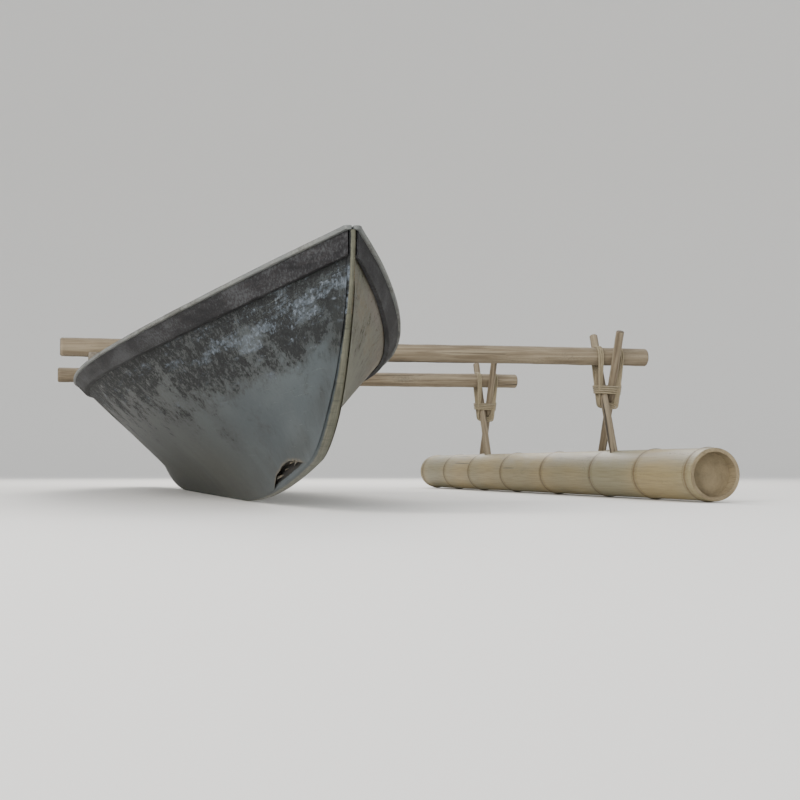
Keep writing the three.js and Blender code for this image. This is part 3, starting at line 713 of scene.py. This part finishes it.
def bamboo_material():
    """Sun-bleached bamboo with darker joints, fine lengthwise fibre and grey mildew."""
    s = Surface("bamboo", "grain")
    cut = s.value("cut")
    cloud = s.noise((0.5, 2.5, 2.5), 6.0, 8.0, 0.65, 0.6)
    fibre = s.noise((0.02, 1.0, 1.0), 420.0, 4.0, 0.6)
    fine = s.noise(EVEN, 200.0, 5.0, 0.65)
    section = s.noise((1.0, 0.2, 0.2), 2.4, 1.0)
    s.colour = s.mix(section.step(0.35, 0.65), (150, 132, 88), (130, 123, 92))
    s.coat(fibre.step(0.42, 0.66, 0.0, 0.5), (108, 92, 60))
    s.coat(s.axes()[2].step(-0.01, 0.05) * cloud.step(0.38, 0.62) * 0.65, (132, 129, 118))
    mildew = (cloud * 0.7 + fine * 0.4).step(0.63, 0.78)
    s.coat(mildew * 0.8, (58, 56, 48))
    s.coat(s.value("joint").step(0.02, 0.003) * fine.step(0.2, 0.6, 0.6, 1.0) * 0.7, (88, 70, 46))
    check = s.noise((0.012, 1.0, 1.0), 115.0, 2.0, 0.5, 0.4).step(0.7, 0.72)
    s.coat(check * 0.85, (30, 24, 16))
    pith = s.mix(cloud.step(0.35, 0.65), (110, 97, 74), (140, 126, 98))
    bundles = s.cells((0.04, 1.0, 1.0), 480.0).step(0.34, 0.16)
    s.coat(cut, s.mix(bundles * 0.6, pith, (78, 62, 42)))
    roughness = 0.42 + mildew * 0.3 + fibre * 0.2 + cut * 0.3
    return s.done(roughness, fibre * 0.4 + fine * 0.2 - check * 1.2, 0.0009)


def rope_material():
    """Faded three-strand rope with fuzzy fibres."""
    s = Surface("rope", "strand")
    yarn = s.noise((0.25, 1.0, 0.0), 2.0, 5.0, 0.7)
    place = s.noise((0.02, 0.0, 0.0), 3.0, 4.0, 0.6)
    s.colour = s.mix(yarn.step(0.35, 0.65), (118, 106, 82), (160, 148, 122))
    s.coat(place.step(0.45, 0.7, 0.0, 0.6), (116, 110, 96))
    # Painted shade in the grooves between the strands.
    s.coat(s.value("groove").step(0.35, 0.0, 0.0, 0.8), (58, 50, 38))
    return s.done(0.82 + yarn * 0.1, yarn, 0.0006)


MATERIALS = {
    "gelcoat_starboard": gelcoat("gelcoat_starboard", -1),
    "gelcoat_port": gelcoat("gelcoat_port", 1),
    "keel_ridge": ridge_material(),
    "rub_rail": rail_material(),
    "cap_rail": cap_material(),
    "inner_wood": wood_material("inner_wood", (134, 127, 114), (103, 95, 83), (60, 53, 44)),
    "pole_wood": wood_material("pole_wood", (146, 134, 112), (114, 101, 81), (68, 57, 43), 1.3),
    "bamboo": bamboo_material(),
    "rope": rope_material(),
}


# Hull pieces


def shell_half(name, side):
    """One half of the moulded shell: outer and inner skin, with the split seam to starboard."""
    x = spread(620, HALF_LENGTH - RIDGE_PROUD - 0.001)[:, None]
    chord = panel_chord(x)
    centre_line = joined(x, 0.0, 0.0)
    split = split_width(x) if side < 0 else 0 * x
    open_share = split / SPLIT_WIDTH
    tear = split * (1 + waves(centre_line, SPLIT_SWAYS)) + open_share * waves(centre_line, SPLIT_NICKS)
    start = np.clip(tear / chord, 0, 0.5)
    t_out = start + (1 - start) * np.linspace(0, 1, 56) ** 1.35
    t_in = start + (1 - start) * np.linspace(1, 0, 24) ** 1.2
    y_out, z_out, angle = panel(x, t_out)
    y_in, z_in, _ = panel(x, t_in, SHELL)
    y_in[:, 0] = half_beam(x[:, 0]) - SHELL / np.sin(angle[:, -1])
    z_in[:, 0] = sheer(x[:, 0])
    y_in = np.maximum(y_in, ridge_half(x) + GAP)
    t = np.concatenate([t_out, t_in], axis=1)
    inside = np.concatenate([0 * t_out, 0 * t_in + 1], axis=1)
    lift = SPLIT_LIFT * open_share * np.maximum(0, 1 - (t - start) / SPLIT_LIFT_REACH) ** 2
    reach = COVE_REACH * np.maximum(1, 0.3 / np.maximum(chord, 0.1))
    cove = COVE_DROP * np.maximum(0, 1 - t / reach) ** 2 * np.minimum(1, chord / 0.08) * (1 - inside)
    lean = stem_lean(x)
    y = np.concatenate([y_out, y_in], axis=1) * side
    z = np.concatenate([z_out, z_in], axis=1) - cove * np.cos(lean) - lift
    rings = joined(x + np.sign(x) * cove * np.sin(lean), y, z)
    ripple = waves(rings, PANEL_WAVES, side) * np.minimum(1, 12 * t * (1 - t)) * np.minimum(1, chord / 0.3)
    rings[..., 1] += side * ripple * 0.8
    rings[..., 2] -= ripple * 0.6
    sheet = joined(rings[..., 0] + INSIDE_SHIFT * inside, (1 - t) * chord, t * chord)
    torn = np.clip(1 - (t - start) * chord / SPLIT_TORN, 0, 1) * np.minimum(1, open_share * 4)
    shape = Shape()
    shape.skin(rings, sheet=sheet, inside=inside, torn=torn)
    for sliver in SLIVERS if side < 0 else ():
        add_sliver(shape, *sliver)
    nodes = [f"hull_{name}_{part}" for part in ("bow", "middle", "stern")]
    shape.piece(f"hull_shell_{name}", f"gelcoat_{name}", nodes, 50)


def add_sliver(shape, aft, length, width, depth, bow_out):
    """Strip of torn laminate that still hangs along the keel ridge inside the split."""
    share = np.linspace(0, 1, 26)[:, None]
    x = HALF_LENGTH - aft - length * share
    taper = np.sin(np.pi * share) ** 0.6 + 0.02
    waver = field(joined(x, 0.0, 0.0), 0.012, 40)
    half = width * 0.5 * taper * (1 + 0.3 * waver)
    across, up = np.array(SLIVER_OUTLINE).T
    y = -(ridge_half(x) + 0.0012 + bow_out * np.sin(np.pi * share) ** 2) + 0.0006 * taper * across
    z = profile_height(x, depth) + 0.0008 * waver + half * up
    rings = joined(x, y, z)
    shape.skin(rings, sheet=rings + [0.0, 0.3, 0.0], torn=1.0)


def keel_ridge():
    """Rounded ridge along the keel and up both stems."""
    outline = [*reversed(RIDGE_OUTLINE), *[(depth, -share) for depth, share in RIDGE_OUTLINE]]
    depth, share = np.array(outline).T[:, None, :]
    foot = HALF_LENGTH - STEM_LENGTH
    straight = np.linspace(-foot, foot, 340)[:, None]
    lean = np.linspace(0, np.pi / 2, 60)[1:, None]
    stem_x = foot + (STEM_LENGTH - depth) * np.sin(lean)
    base = rocker(stem_x) + depth
    stem_z = base + (sheer(HALF_LENGTH - depth) - base) * (1 - np.cos(lean))
    stem_run = HALF_LENGTH - STEM_LENGTH * (1 - lean)
    x = np.concatenate([-stem_x[::-1], straight + 0 * depth, stem_x])
    z = np.concatenate([stem_z[::-1], rocker(straight) + depth, stem_z])
    along = np.concatenate([-stem_run[::-1], straight, stem_run])
    half = ridge_half(x)
    rings = joined(x, share * half, z)
    rings[..., 1] += 0.0006 * field(rings, 0.05, 3) * np.minimum(1, depth / 0.004)
    sheet = joined(x, np.hypot(half_beam(x) - half, sheer(x) - z), 0.0)
    split = np.minimum(1, split_width(x) / 0.004) * (rings[..., 1] < 0)
    one_skin("keel_ridge", "keel_ridge", ["keel_strip", "stem_strip_bow", "stem_strip_stern"], rings, 60,
             sheet=sheet, profile=joined(depth, share, along), split=split,
             inside=np.clip((depth - 0.0345) / 0.0005, 0, 1))


def rub_faces(x, drop):
    """Y of the rub rail's inner and outer faces at a drop down the panel."""
    angle = gunwale_angle(x)
    clearance = GAP + (RUB_FOOT_GAP - GAP) * drop / RUB_DEPTH
    on_panel = half_beam(x) - drop * np.cos(angle) + clearance / np.sin(angle)
    inner = np.maximum(on_panel, ridge_half(x) + GAP)
    taper = np.minimum(1, (HALF_LENGTH - np.abs(x)) / RUB_TAPER)
    thick = RUB_THICK_TIP + (RUB_THICK - RUB_THICK_TIP) * taper
    return inner, inner + thick / np.sin(angle)


def rail(name, slot, node, side, x, corners, radius, dents, axis):
    """Rail through the rows of its four corners, with rounded edges and with dents along one axis."""
    outline, edge = rounded(np.stack([joined(*corner) for corner in corners], axis=1), radius)
    rings = joined(x[:, None], side * outline[..., 0], outline[..., 1])
    rings[..., axis] += np.minimum(0, waves(rings, dents)) * (side if axis == 1 else 1)
    grain = joined(rings[..., 0], rings[..., 1] - side * half_beam(rings[..., 0]), rings[..., 2])
    one_skin(name, slot, [node], rings, grain=grain, edge=edge)


def rub_rail(name, side):
    """Dark strake outside the shell, rounded where its ends meet at the stems."""
    x = spread(360, HALF_LENGTH - RUB_END)
    end = np.clip((HALF_LENGTH - RUB_END - np.abs(x)) / RUB_ROUND, 0, 1)
    narrow = RUB_END_SHARE + (1 - RUB_END_SHARE) * np.sqrt(1 - (1 - end) ** 2)
    tuck = ridge_half(x) * (1 - np.interp(HALF_LENGTH - np.abs(x), *np.array(RIDGE_OUTLINE[:7]).T))
    top_inner, top_outer = rub_faces(x, 0.0)
    foot_inner, foot_outer = rub_faces(x, RUB_DEPTH)
    top = sheer(x)
    foot = top - RUB_DEPTH * np.sin(gunwale_angle(x))
    corners = ((top_inner - tuck, top), (top_inner + (top_outer - top_inner) * narrow, top),
               (foot_inner + (foot_outer - foot_inner) * narrow, foot), (foot_inner - tuck, foot))
    rail(f"rub_rail_skin_{name}", "rub_rail", f"rub_rail_{name}", side, x, corners, RUB_EDGE, RUB_DENTS, 1)


def gunwale_cap(name, side):
    """Pale lip over the shell's edge, with a rounded end beside its twin at each tip."""
    turn = np.linspace(0, np.pi / 2, 10)[1:]
    tip = HALF_LENGTH - CAP_ROUND + CAP_ROUND * np.sin(turn) * 0.9995
    x = np.concatenate([-tip[::-1], spread(340, HALF_LENGTH - CAP_ROUND), tip])
    outer = rub_faces(x, 0.0)[1] + CAP_PROUD
    inner = np.maximum(GAP / 2, half_beam(x) - CAP_INBOARD)
    middle = inner + CAP_END_LINE * (outer - inner)
    end = np.clip((HALF_LENGTH - np.abs(x)) / CAP_ROUND, 0, 1)
    full = np.sqrt(1 - (1 - end) ** 2)
    share = CAP_END_SHARE + (1 - CAP_END_SHARE) * full
    outer = middle + (outer - middle) * share
    inner = middle + (inner - middle) * (0.5 + 0.5 * share)
    bottom = sheer(x) + GAP
    top = bottom + CAP_THICK * (0.75 + 0.25 * full)
    corners = ((inner, bottom), (outer, bottom), (outer, top), (inner, top))
    rail(f"cap_skin_{name}", "cap_rail", f"gunwale_cap_{name}", side, x, corners, CAP_EDGE, CAP_DENTS, 2)


# Pieces inside the hull. The grain of each starts at another place, so that no two boards look alike.


def across_hull(low, high, count, radius=BOARD_ROUND):
    """Rings of a bar from side to side of the hull, with their edge values and places across."""
    outline, edge = bar_outline(low, high, radius)
    x, z = np.moveaxis(outline, -1, 0)
    across = np.linspace(-1, 1, count)[:, None]
    return joined(x, across * inner_half(x, z), z), edge, across


def end_deck(name, end):
    """Slightly crowned plate under the cap rails, with a lip turned down along its open edge."""
    stop = HALF_LENGTH - DECK_END
    x = np.linspace(HALF_LENGTH - DECK_START, stop, 60)[:, None]
    share = np.linspace(-1, 1, 33)
    edge_z = sheer(x) - DECK_DROP
    half = inner_half(x, edge_z - DECK_THICK)
    top = edge_z + DECK_CROWN * (1 - share ** 2) * np.minimum(1, half / 0.06)
    y = np.concatenate([half * share, half * share[::-1]], axis=1)
    z = np.concatenate([top, (top - DECK_THICK)[:, ::-1]], axis=1)
    rings = joined(end * x, y, z)
    rings[..., 2] += waves(rings, DECK_WAVES)
    shape = Shape()
    shape.skin(rings, grain=rings + 2.0, edge=np.clip(1 - (x - stop) / 0.006, 0, 1))
    lip_top = sheer(stop) - DECK_DROP - DECK_SINK
    lip_ends = (stop, lip_top - DECK_LIP), (stop + DECK_LIP_THICK, lip_top)
    lip, lip_edge, across = across_hull(*lip_ends, 25, 0.002)
    lip[..., 0] = end * (lip[..., 0] - DECK_SINK)
    lip[..., 2] += DECK_CROWN * (1 - across ** 2)
    shape.skin(lip, grain=lip + 2.0, edge=lip_edge)
    shape.piece(f"deck_skin_{name}", "cap_rail", [f"end_deck_{name}"])


def add_nail(shape, x, y, z):
    """Low domed head of a nail driven down into a board."""
    turn = np.linspace(0, 2 * np.pi, 14, endpoint=False)
    share, height = np.array(NAIL_PROFILE).T[:, :, None]
    radius = NAIL_RADIUS * share
    rings = joined(x + radius * np.cos(turn), y + radius * np.sin(turn), z + height)
    shape.skin(rings, grain=rings, nail=1.0)


def cross_board(name, node, seed, nails=()):
    """Board from side to side of the hull, with ends that follow the shell."""
    low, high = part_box(node)
    middle = placed(node)[0]
    rings, edge, _ = across_hull(low.xz, high.xz, 49)
    inward = np.sign(np.array(middle) - rings) * [1.0, 0.0, 1.0]
    rings += inward * (np.abs(waves(rings, BOARD_DENTS, seed)) * edge)[..., None]
    rings[..., 2] -= BOARD_SINK + waves(rings, BOARD_WAVES, seed)
    grain = joined(rings[..., 1] + 3.1 * seed, rings[..., 0], rings[..., 2])
    shape = Shape()
    shape.skin(rings, grain=grain, edge=edge)
    for x_share, inboard in nails:
        x = middle.x + x_share * (high.x - low.x)
        for side in (-1, 1):
            add_nail(shape, x, side * (inner_half(x, high.z) - inboard), high.z - NAIL_SINK)
    shape.piece(name, "inner_wood", [node])


def floor_plank():
    """Loose floorboard along the bearers, a little cupped."""
    low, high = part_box("floor_plank")
    outline, edge = bar_outline(low.yz, high.yz, fill=(0.04, 0.2, 0.4, 0.6, 0.8, 0.96))
    rings = joined(np.linspace(low.x, high.x, 90)[:, None], outline[..., 0], outline[..., 1])
    rings[..., 2] -= PLANK_CUP * (1 - (rings[..., 1] / high.y) ** 2)
    rings[..., 1] *= 1 - np.abs(waves(rings * [1, 0, 0], PLANK_WEAR))
    shape = Shape()
    shape.skin(rings, grain=rings + [0.7, 0.0, 0.0], edge=edge)
    for bearer in BEARERS:
        x = placed(f"floor_bearer_{bearer}")[0].x
        for share in PLANK_NAILS:
            add_nail(shape, x, share * high.y, high.z - PLANK_NAIL_SINK * (1 - share ** 2))
    shape.piece("floor_board", "inner_wood", ["floor_plank"])


def keelson():
    """Timber along the bottom, fitted into the vee of the shell."""
    x = np.linspace(-KEELSON_HALF_LENGTH, KEELSON_HALF_LENGTH, 120)[:, None]
    top = profile_height(x, RIDGE_PROUD) + KEELSON_RISE
    bottom = profile_height(x, RIDGE_DEPTH) + 0.001
    side_z = bottom + (top - bottom) * np.linspace(0, 1, 7)
    half = inner_half(x, side_z)
    half[:, -1] -= 0.002
    side_z[:, -2] = side_z[:, -1] - 0.002
    flat = np.linspace(1, -1, 9)[1:-1] * half[:, -1:]
    y = np.concatenate([half, flat, -half[:, ::-1]], axis=1)
    z = np.concatenate([side_z, top + 0 * flat, side_z[:, ::-1]], axis=1)
    rings = joined(x, y, z)
    # Painted shade, partly damp, on the keelson's sides down in the vee of the shell, weaker on its top.
    damp = np.clip((top - z) / 0.004, 0.25, 1)
    one_skin("keelson_timber", "inner_wood", ["keelson"], rings, grain=rings + 9.0, damp=damp)


def seat_cleat(key, side, seed):
    """Short timber on the side of the shell that carries an end of a seat."""
    node = f"seat_cleat_{key}"
    low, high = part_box(node)
    near = low.y if side > 0 else -high.y
    outline, edge = bar_outline((0.0, low.z), (1.0, high.z))
    outward, z = np.moveaxis(outline, -1, 0)
    x = np.linspace(low.x, high.x, 30)[:, None]
    rings = joined(x, side * (near + (inner_half(x, z) - near) * outward), z)
    one_skin(f"cleat_{key}", "inner_wood", [node], rings, grain=rings + [seed * 1.7, 0.0, 0.0], edge=edge)


# Outrigger


def pole(name, node, out, across, radius, seed, sides, steps, knots):
    """Peeled pole with a wandering axis, knots and rounded ends, given half its axis and a way across it."""
    out, across = np.array([out, across])
    start = np.array(placed(node)[0]) - out
    length = 2 * np.linalg.norm(out)
    ahead = 2 * out / length
    up = np.cross(across, ahead)
    tip = np.array([0.0, 0.0015, radius * 0.18])
    places = np.concatenate([tip, np.linspace(0.01, length - 0.01, steps), length - tip[::-1]])[:, None]
    from_end = np.minimum(places, length - places)
    centres = start + ahead * places
    even = tube(centres, across, up, np.full((len(places), sides), radius))
    swell = waves(even / radius, POLE_SWELLS, seed)
    turn = np.linspace(0, 2 * np.pi, sides, endpoint=False)
    chance = np.random.default_rng(seed)
    knot_places = chance.uniform(0.08, 0.92, knots) * length
    for knot_place, knot_turn in zip(knot_places, chance.uniform(0, 2 * np.pi, knots)):
        aside = np.angle(np.exp(1j * (turn - knot_turn))) * radius
        swell += KNOT_HEIGHT * np.exp(-((places - knot_place) ** 2 + aside ** 2) / (0.5 * radius) ** 2)
    sway = POLE_WANDER * field(np.stack([centres, centres + 7.0]), 0.35, seed)[..., None]
    closing = 1 - 0.16 * np.maximum(0, 1 - from_end / tip[-1]) ** 2
    radii = radius * (POLE_SHARE + swell) * closing
    rings = tube(centres + across * sway[0] + up * sway[1], across, up, radii)
    grain = (rings - start) @ np.stack([ahead, across, up], -1) + [seed * 2.3, 0.0, 0.0]
    one_skin(name, "pole_wood", [node], rings, 50, grain=grain, edge=np.clip(1 - from_end / 0.002, 0, 1),
             cut=from_end < 0.0004)


def booms():
    """Poles across the hull, out to the float."""
    for seed, name in enumerate(ENDS):
        half = placed(f"boom_{name}")[1]
        pole(f"boom_pole_{name}", f"boom_{name}", (0.0, half.y, 0.0), (1.0, 0.0, 0.0), half.z, seed + 1,
             *BOOM_DETAIL)


def pegs():
    """Crossed pegs from the booms down into the float."""
    seed = 10
    for name in ENDS:
        for which, lean in (("fore", 1), ("aft", -1)):
            seed += 1
            node = f"float_peg_{name}_{which}"
            half = placed(node)[1]
            rise = half.z - half.y * math.sin(PEG_LEAN)
            out = (lean * rise * math.tan(PEG_LEAN), 0.0, rise)
            pole(f"peg_{name}_{which}", node, out, (0.0, 1.0, 0.0), half.y, seed, *PEG_DETAIL)


def bamboo_float():
    """Culm with raised joints and hollow cut ends."""
    centre, half = placed("float")
    radius = half.z - JOINT_PROUD
    near_joints = np.add.outer(FLOAT_JOINTS, np.linspace(-0.02, 0.02, 15)).ravel()
    near_ends = [half.x - FLOAT_ROUND, FLOAT_ROUND - half.x]
    x = np.unique(np.concatenate([np.linspace(-half.x, half.x, 420), near_joints, near_ends]))
    away = x - np.array(FLOAT_JOINTS)[:, None]
    closing = np.clip((half.x - np.abs(x)) / FLOAT_ROUND, 0, 1)
    body = radius - 0.0006 - 0.0012 * (1 - closing)
    for height, place, width in JOINT_WAVES:
        body += height * np.exp(-((away - place) / width) ** 2).sum(axis=0)
    inner = radius - FLOAT_WALL
    bore = half.x - FLOAT_HOLLOW
    end_x = np.array([-bore, -bore, -bore, 0.001 - half.x])
    end_radii = np.array([0.004, inner * 0.6, inner, inner + 0.001])
    x = np.concatenate([end_x, x, -end_x[::-1]])[:, None]
    radii = np.concatenate([end_radii, body, end_radii[::-1]])[:, None]
    joint = np.pad(np.abs(away).min(axis=0), 4, constant_values=1.0)[:, None]
    cut = np.pad(1 - closing, 4, constant_values=1.0)[:, None]
    turn = np.linspace(0, 2 * np.pi, 64, endpoint=False)
    axis_y = centre.y + FLOAT_SWAY * np.sin(x * 1.9 + 0.4)
    y = radii * np.cos(turn)
    z = centre.z + radii * np.sin(turn)
    uneven = 1 + waves(joined(x, axis_y + y, z) * [0.3, 1, 1], FLOAT_SWELLS)
    rings = joined(x, axis_y + y * uneven, z)
    grain = rings - [0.0, centre.y, centre.z]
    one_skin("bamboo_culm", "bamboo", ["float"], rings, 40, grain=grain, joint=joint, cut=cut)


def saddle(end, key, seed):
    """Wooden block on the gunwale, hollowed on top for the boom."""
    low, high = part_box(f"boom_saddle_{key}")
    boom, boom_half = placed(f"boom_{end}")
    radius = boom_half.z + GAP
    reach = math.asin((boom.z - high.z) / radius)
    bend = np.linspace(-reach, reach - np.pi, 17)
    hollow = joined(boom.x + radius * np.cos(bend), boom.z + radius * np.sin(bend))
    outline = np.concatenate([[(low.x, high.z), low.xz, (high.x, low.z), high.xz], hollow])
    toward = np.array([boom.x, (low.z + high.z) / 2 - 0.006]) - outline
    toward /= np.linalg.norm(toward, axis=1, keepdims=True)
    from_end, inset, wear = np.array(SADDLE_ENDS).T
    y = np.concatenate([low.y + from_end, high.y - from_end[::-1]])[:, None]
    inset, wear = [np.concatenate([part, part[::-1]])[:, None] for part in (inset, wear)]
    x, z = np.moveaxis(outline + toward * inset[:, None], -1, 0)
    rings = joined(x, y, z)
    one_skin(f"saddle_block_{key}", "inner_wood", [f"boom_saddle_{key}"], rings, 30,
             grain=rings + [seed * 1.3, 0.0, 0.0], edge=wear)


def resample(points, spacing):
    """Even steps along a line of points, and how far along it each of them is."""
    points = np.asarray(points, float)
    steps = np.linalg.norm(np.diff(points, axis=0), axis=1)
    reach = np.concatenate([[0], np.cumsum(steps)])
    places = np.linspace(0, reach[-1], max(8, int(reach[-1] / spacing)))
    return joined(*[np.interp(places, reach, axis) for axis in points.T]), places


def add_rope(shape, route):
    """Three-strand rope along a route, whose outline turns with the lay of its strands."""
    points, places = resample(route, ROPE_STEP)
    for _ in range(3):
        points = np.concatenate([points[:1], (points[:-2] + 2 * points[1:-1] + points[2:]) / 4, points[-1:]])
    ahead = np.gradient(points, axis=0)
    ahead /= np.linalg.norm(ahead, axis=1, keepdims=True)
    across = [np.cross(ahead[0], [0.31, 0.52, 0.79])]
    for direction in ahead:
        level = across[-1] - direction * np.dot(across[-1], direction)
        across.append(level / np.linalg.norm(level))
    across = np.array(across[1:])
    lay = places[:, None] / ROPE_LAY
    around = np.linspace(0, 2 * np.pi, 12, endpoint=False) - 2 * np.pi * lay
    lobe = np.cos(3 * around)
    radii = ROPE_RADIUS * (1 - ROPE_GROOVE + ROPE_GROOVE * lobe)
    rings = tube(points, across[:, None], np.cross(ahead, across)[:, None], radii)
    shape.skin(rings, strand=joined(lay, around * 1.6, 0.0), groove=0.5 + 0.5 * lobe)


def wound(loops):
    """Joins equal loops at different places into one winding that moves evenly from each to the next."""
    route = []
    for pair in zip(loops[:-1], loops[1:]):
        first, second = [resample(loop, 0.004)[0] for loop in pair]
        count = min(len(first), len(second))
        share = np.linspace(0, 1, count)[:, None]
        route.append(first[:count] * (1 - share) + second[:count] * share)
    return np.concatenate(route)


def over_boom(boom, y, radius, steps):
    """Half a turn over a boom, from its bow side to its stern side."""
    turn = np.linspace(0, np.pi, steps)
    return joined(boom.x + radius * np.cos(turn), y, boom.z + radius * np.sin(turn))


def level_turn(x, y, z, half_x, half_y):
    """Corners of a closed level turn."""
    return [(x + a * half_x, y + b * half_y, z) for a, b in ((1, -1), (-1, -1), (-1, 1), (1, 1), (1, -1))]


def hull_lashing(end, key):
    """Turns of rope round a boom and the thwart under it, drawn tight by turns between the two."""
    centre, half = placed(f"hull_lashing_{key}")
    boom, boom_half = placed(f"boom_{end}")
    thwart, thwart_half = placed(f"thwart_{end}")
    radius = boom_half.z + ROPE_RADIUS
    foot_half = thwart_half.x + ROPE_RADIUS
    foot_z = thwart.z - thwart_half.z - ROPE_RADIUS
    edge = half.y - ROPE_RADIUS
    loops = []
    for y in np.linspace(centre.y - edge, centre.y + edge, HULL_LASH_TURNS):
        foot = [(boom.x + share * foot_half, y, foot_z) for share in (0, 1, -1, 0)]
        loops.append([*foot[:2], *over_boom(boom, y, radius, 16), *foot[2:]])
    height = (boom.z - boom_half.z + thwart.z + thwart_half.z) / 2
    reach = -(radius + ROPE_THICK), half.y + ROPE_RADIUS * 0.6
    binding = wound([level_turn(boom.x, centre.y, height + level * ROPE_THICK, *reach)
                     for level in BINDING_LEVELS])
    shape = Shape()
    add_rope(shape, wound(loops))
    add_rope(shape, np.concatenate([binding, binding[-1] + ROPE_TAIL]))
    shape.piece(f"hull_rope_{key}", "rope", [f"hull_lashing_{key}"], 80)


def float_lashing(end):
    """Turns of rope over the boom on both sides of the pegs and through the notch under their crossing."""
    centre, half = placed(f"float_lashing_{end}")
    boom, boom_half = placed(f"boom_{end}")
    peg_radius = placed(f"float_peg_{end}_fore")[1].y
    radius = boom_half.z + ROPE_RADIUS
    reach = half.y - ROPE_RADIUS
    crossing = boom.z - (boom_half.z + peg_radius + GAP) / math.sin(PEG_LEAN)
    notch = crossing - (peg_radius + ROPE_RADIUS + GAP) / math.sin(PEG_LEAN)
    loops = []
    for number in range(FLOAT_LASH_TURNS + 1):
        out = reach - (FLOAT_LASH_TURNS - number) * ROPE_THICK
        tight = reach - (FLOAT_LASH_TURNS - 0.35 * number) * ROPE_THICK
        foot = level_turn(boom.x, centre.y, notch - number * ROPE_THICK * 0.9, ROPE_RADIUS * number, tight)
        near, far = [over_boom(boom, centre.y + side * out, radius, 14) for side in (-1, 1)]
        loops.append([foot[0], *near, *foot[1:3], *far[::-1], *foot[3:]])
    belts = [fork_belt(boom.x, centre.y, crossing, level * ROPE_THICK, peg_radius, reach)
             for level in BINDING_LEVELS]
    shape = Shape()
    add_rope(shape, wound(loops))
    add_rope(shape, wound(belts))
    shape.piece(f"float_rope_{end}", "rope", [f"float_lashing_{end}"], 80)


def fork_belt(x, y, crossing, above, peg_radius, reach_y):
    """One level turn round both pegs of a fork, at a height above their crossing."""
    half = peg_radius / math.cos(PEG_LEAN) + ROPE_RADIUS
    angle = np.linspace(0, 2 * np.pi, 41)
    aside, off = [np.abs(part) ** 0.5 * np.sign(part) for part in (np.cos(angle), np.sin(angle))]
    lean = np.clip(aside * reach_y / peg_radius, -1, 1)
    return joined(x + off * half + lean * above * math.tan(PEG_LEAN), y + aside * reach_y, crossing + above)


def build_hull():
    for name, side in SIDES:
        shell_half(name, side)
        rub_rail(name, side)
        gunwale_cap(name, side)
    keel_ridge()
    end_deck("bow", 1)
    end_deck("stern", -1)


def build_inside():
    keelson()
    floor_plank()
    for seed, name in enumerate(BEARERS):
        cross_board(f"bearer_{name}", f"floor_bearer_{name}", seed)
    for seed, end in enumerate(ENDS):
        cross_board(f"seat_board_{end}", f"seat_{end}", seed + 4, SEAT_NAILS)
        cross_board(f"thwart_board_{end}", f"thwart_{end}", seed + 8)
        for name, side in SIDES:
            seat_cleat(f"{end}_{name}", side, seed + 2 + side)


def build_outrigger():
    booms()
    pegs()
    bamboo_float()
    for seed, end in enumerate(ENDS):
        float_lashing(end)
        for name, side in SIDES:
            saddle(end, f"{end}_{name}", seed * 2 + side)
            hull_lashing(end, f"{end}_{name}")


# Stage


def studio_floor():
    """Pale floor that sweeps up into a plain wall far behind the canoe on every side."""
    bend = np.linspace(0, np.pi / 2, 17)
    radii = np.concatenate([[0.01, 4.0, 8.0], BOWL_FLAT + BOWL_BEND * np.sin(bend), [BOWL_FLAT + BOWL_BEND]])
    heights = np.concatenate([[0.0, 0.0, 0.0], BOWL_BEND * (1 - np.cos(bend)), [BOWL_HEIGHT]])
    turn = np.linspace(0, 2 * np.pi, 96, endpoint=False)[:, None]
    shape = Shape()
    shape.skin(joined(radii * np.cos(turn), radii * np.sin(turn), heights).swapaxes(0, 1))
    mesh = bpy.data.meshes.new("studio_floor")
    mesh.from_pydata(shape.points, [], shape.faces[:-1])
    mesh.shade_smooth()
    s = Surface("studio_floor")
    feed(s.shader.inputs["Base Color"], tone(238, 236, 232))
    feed(s.shader.inputs["Roughness"], 0.9)
    mesh.materials.append(s.material)
    put("studio_floor", mesh)


def studio():
    """Floor, soft lights and an even sky."""
    studio_floor()
    for name, place, target, size, power, colour, spread_angle in LIGHTS:
        data = bpy.data.lights.new(name, "AREA")
        data.shape = "DISK"
        data.size = size
        data.energy = power
        data.color = colour
        data.spread = math.radians(spread_angle)
        lamp = put(name, data)
        lamp.location = place
        lamp.rotation_euler = (Vector(target) - Vector(place)).to_track_quat("-Z", "Y").to_euler()
    world = bpy.data.worlds.new("studio_sky")
    world.use_nodes = True
    sky = world.node_tree.nodes["Background"].inputs
    sky["Color"].default_value = (0.86, 0.89, 0.93, 1)
    sky["Strength"].default_value = 1.0
    bpy.context.scene.world = world


def camera():
    data = bpy.data.cameras.new("camera")
    data.lens = CAMERA_LENS
    data.sensor_width = 36.0
    made = put("camera", data)
    made.location = CAMERA_PLACE
    made.rotation_euler = (math.pi / 2 + CAMERA_RISE, 0, CAMERA_AZIMUTH)
    bpy.context.scene.camera = made


camera()
studio()
build_hull()
build_inside()
build_outrigger()
bpy.context.view_layer.update()
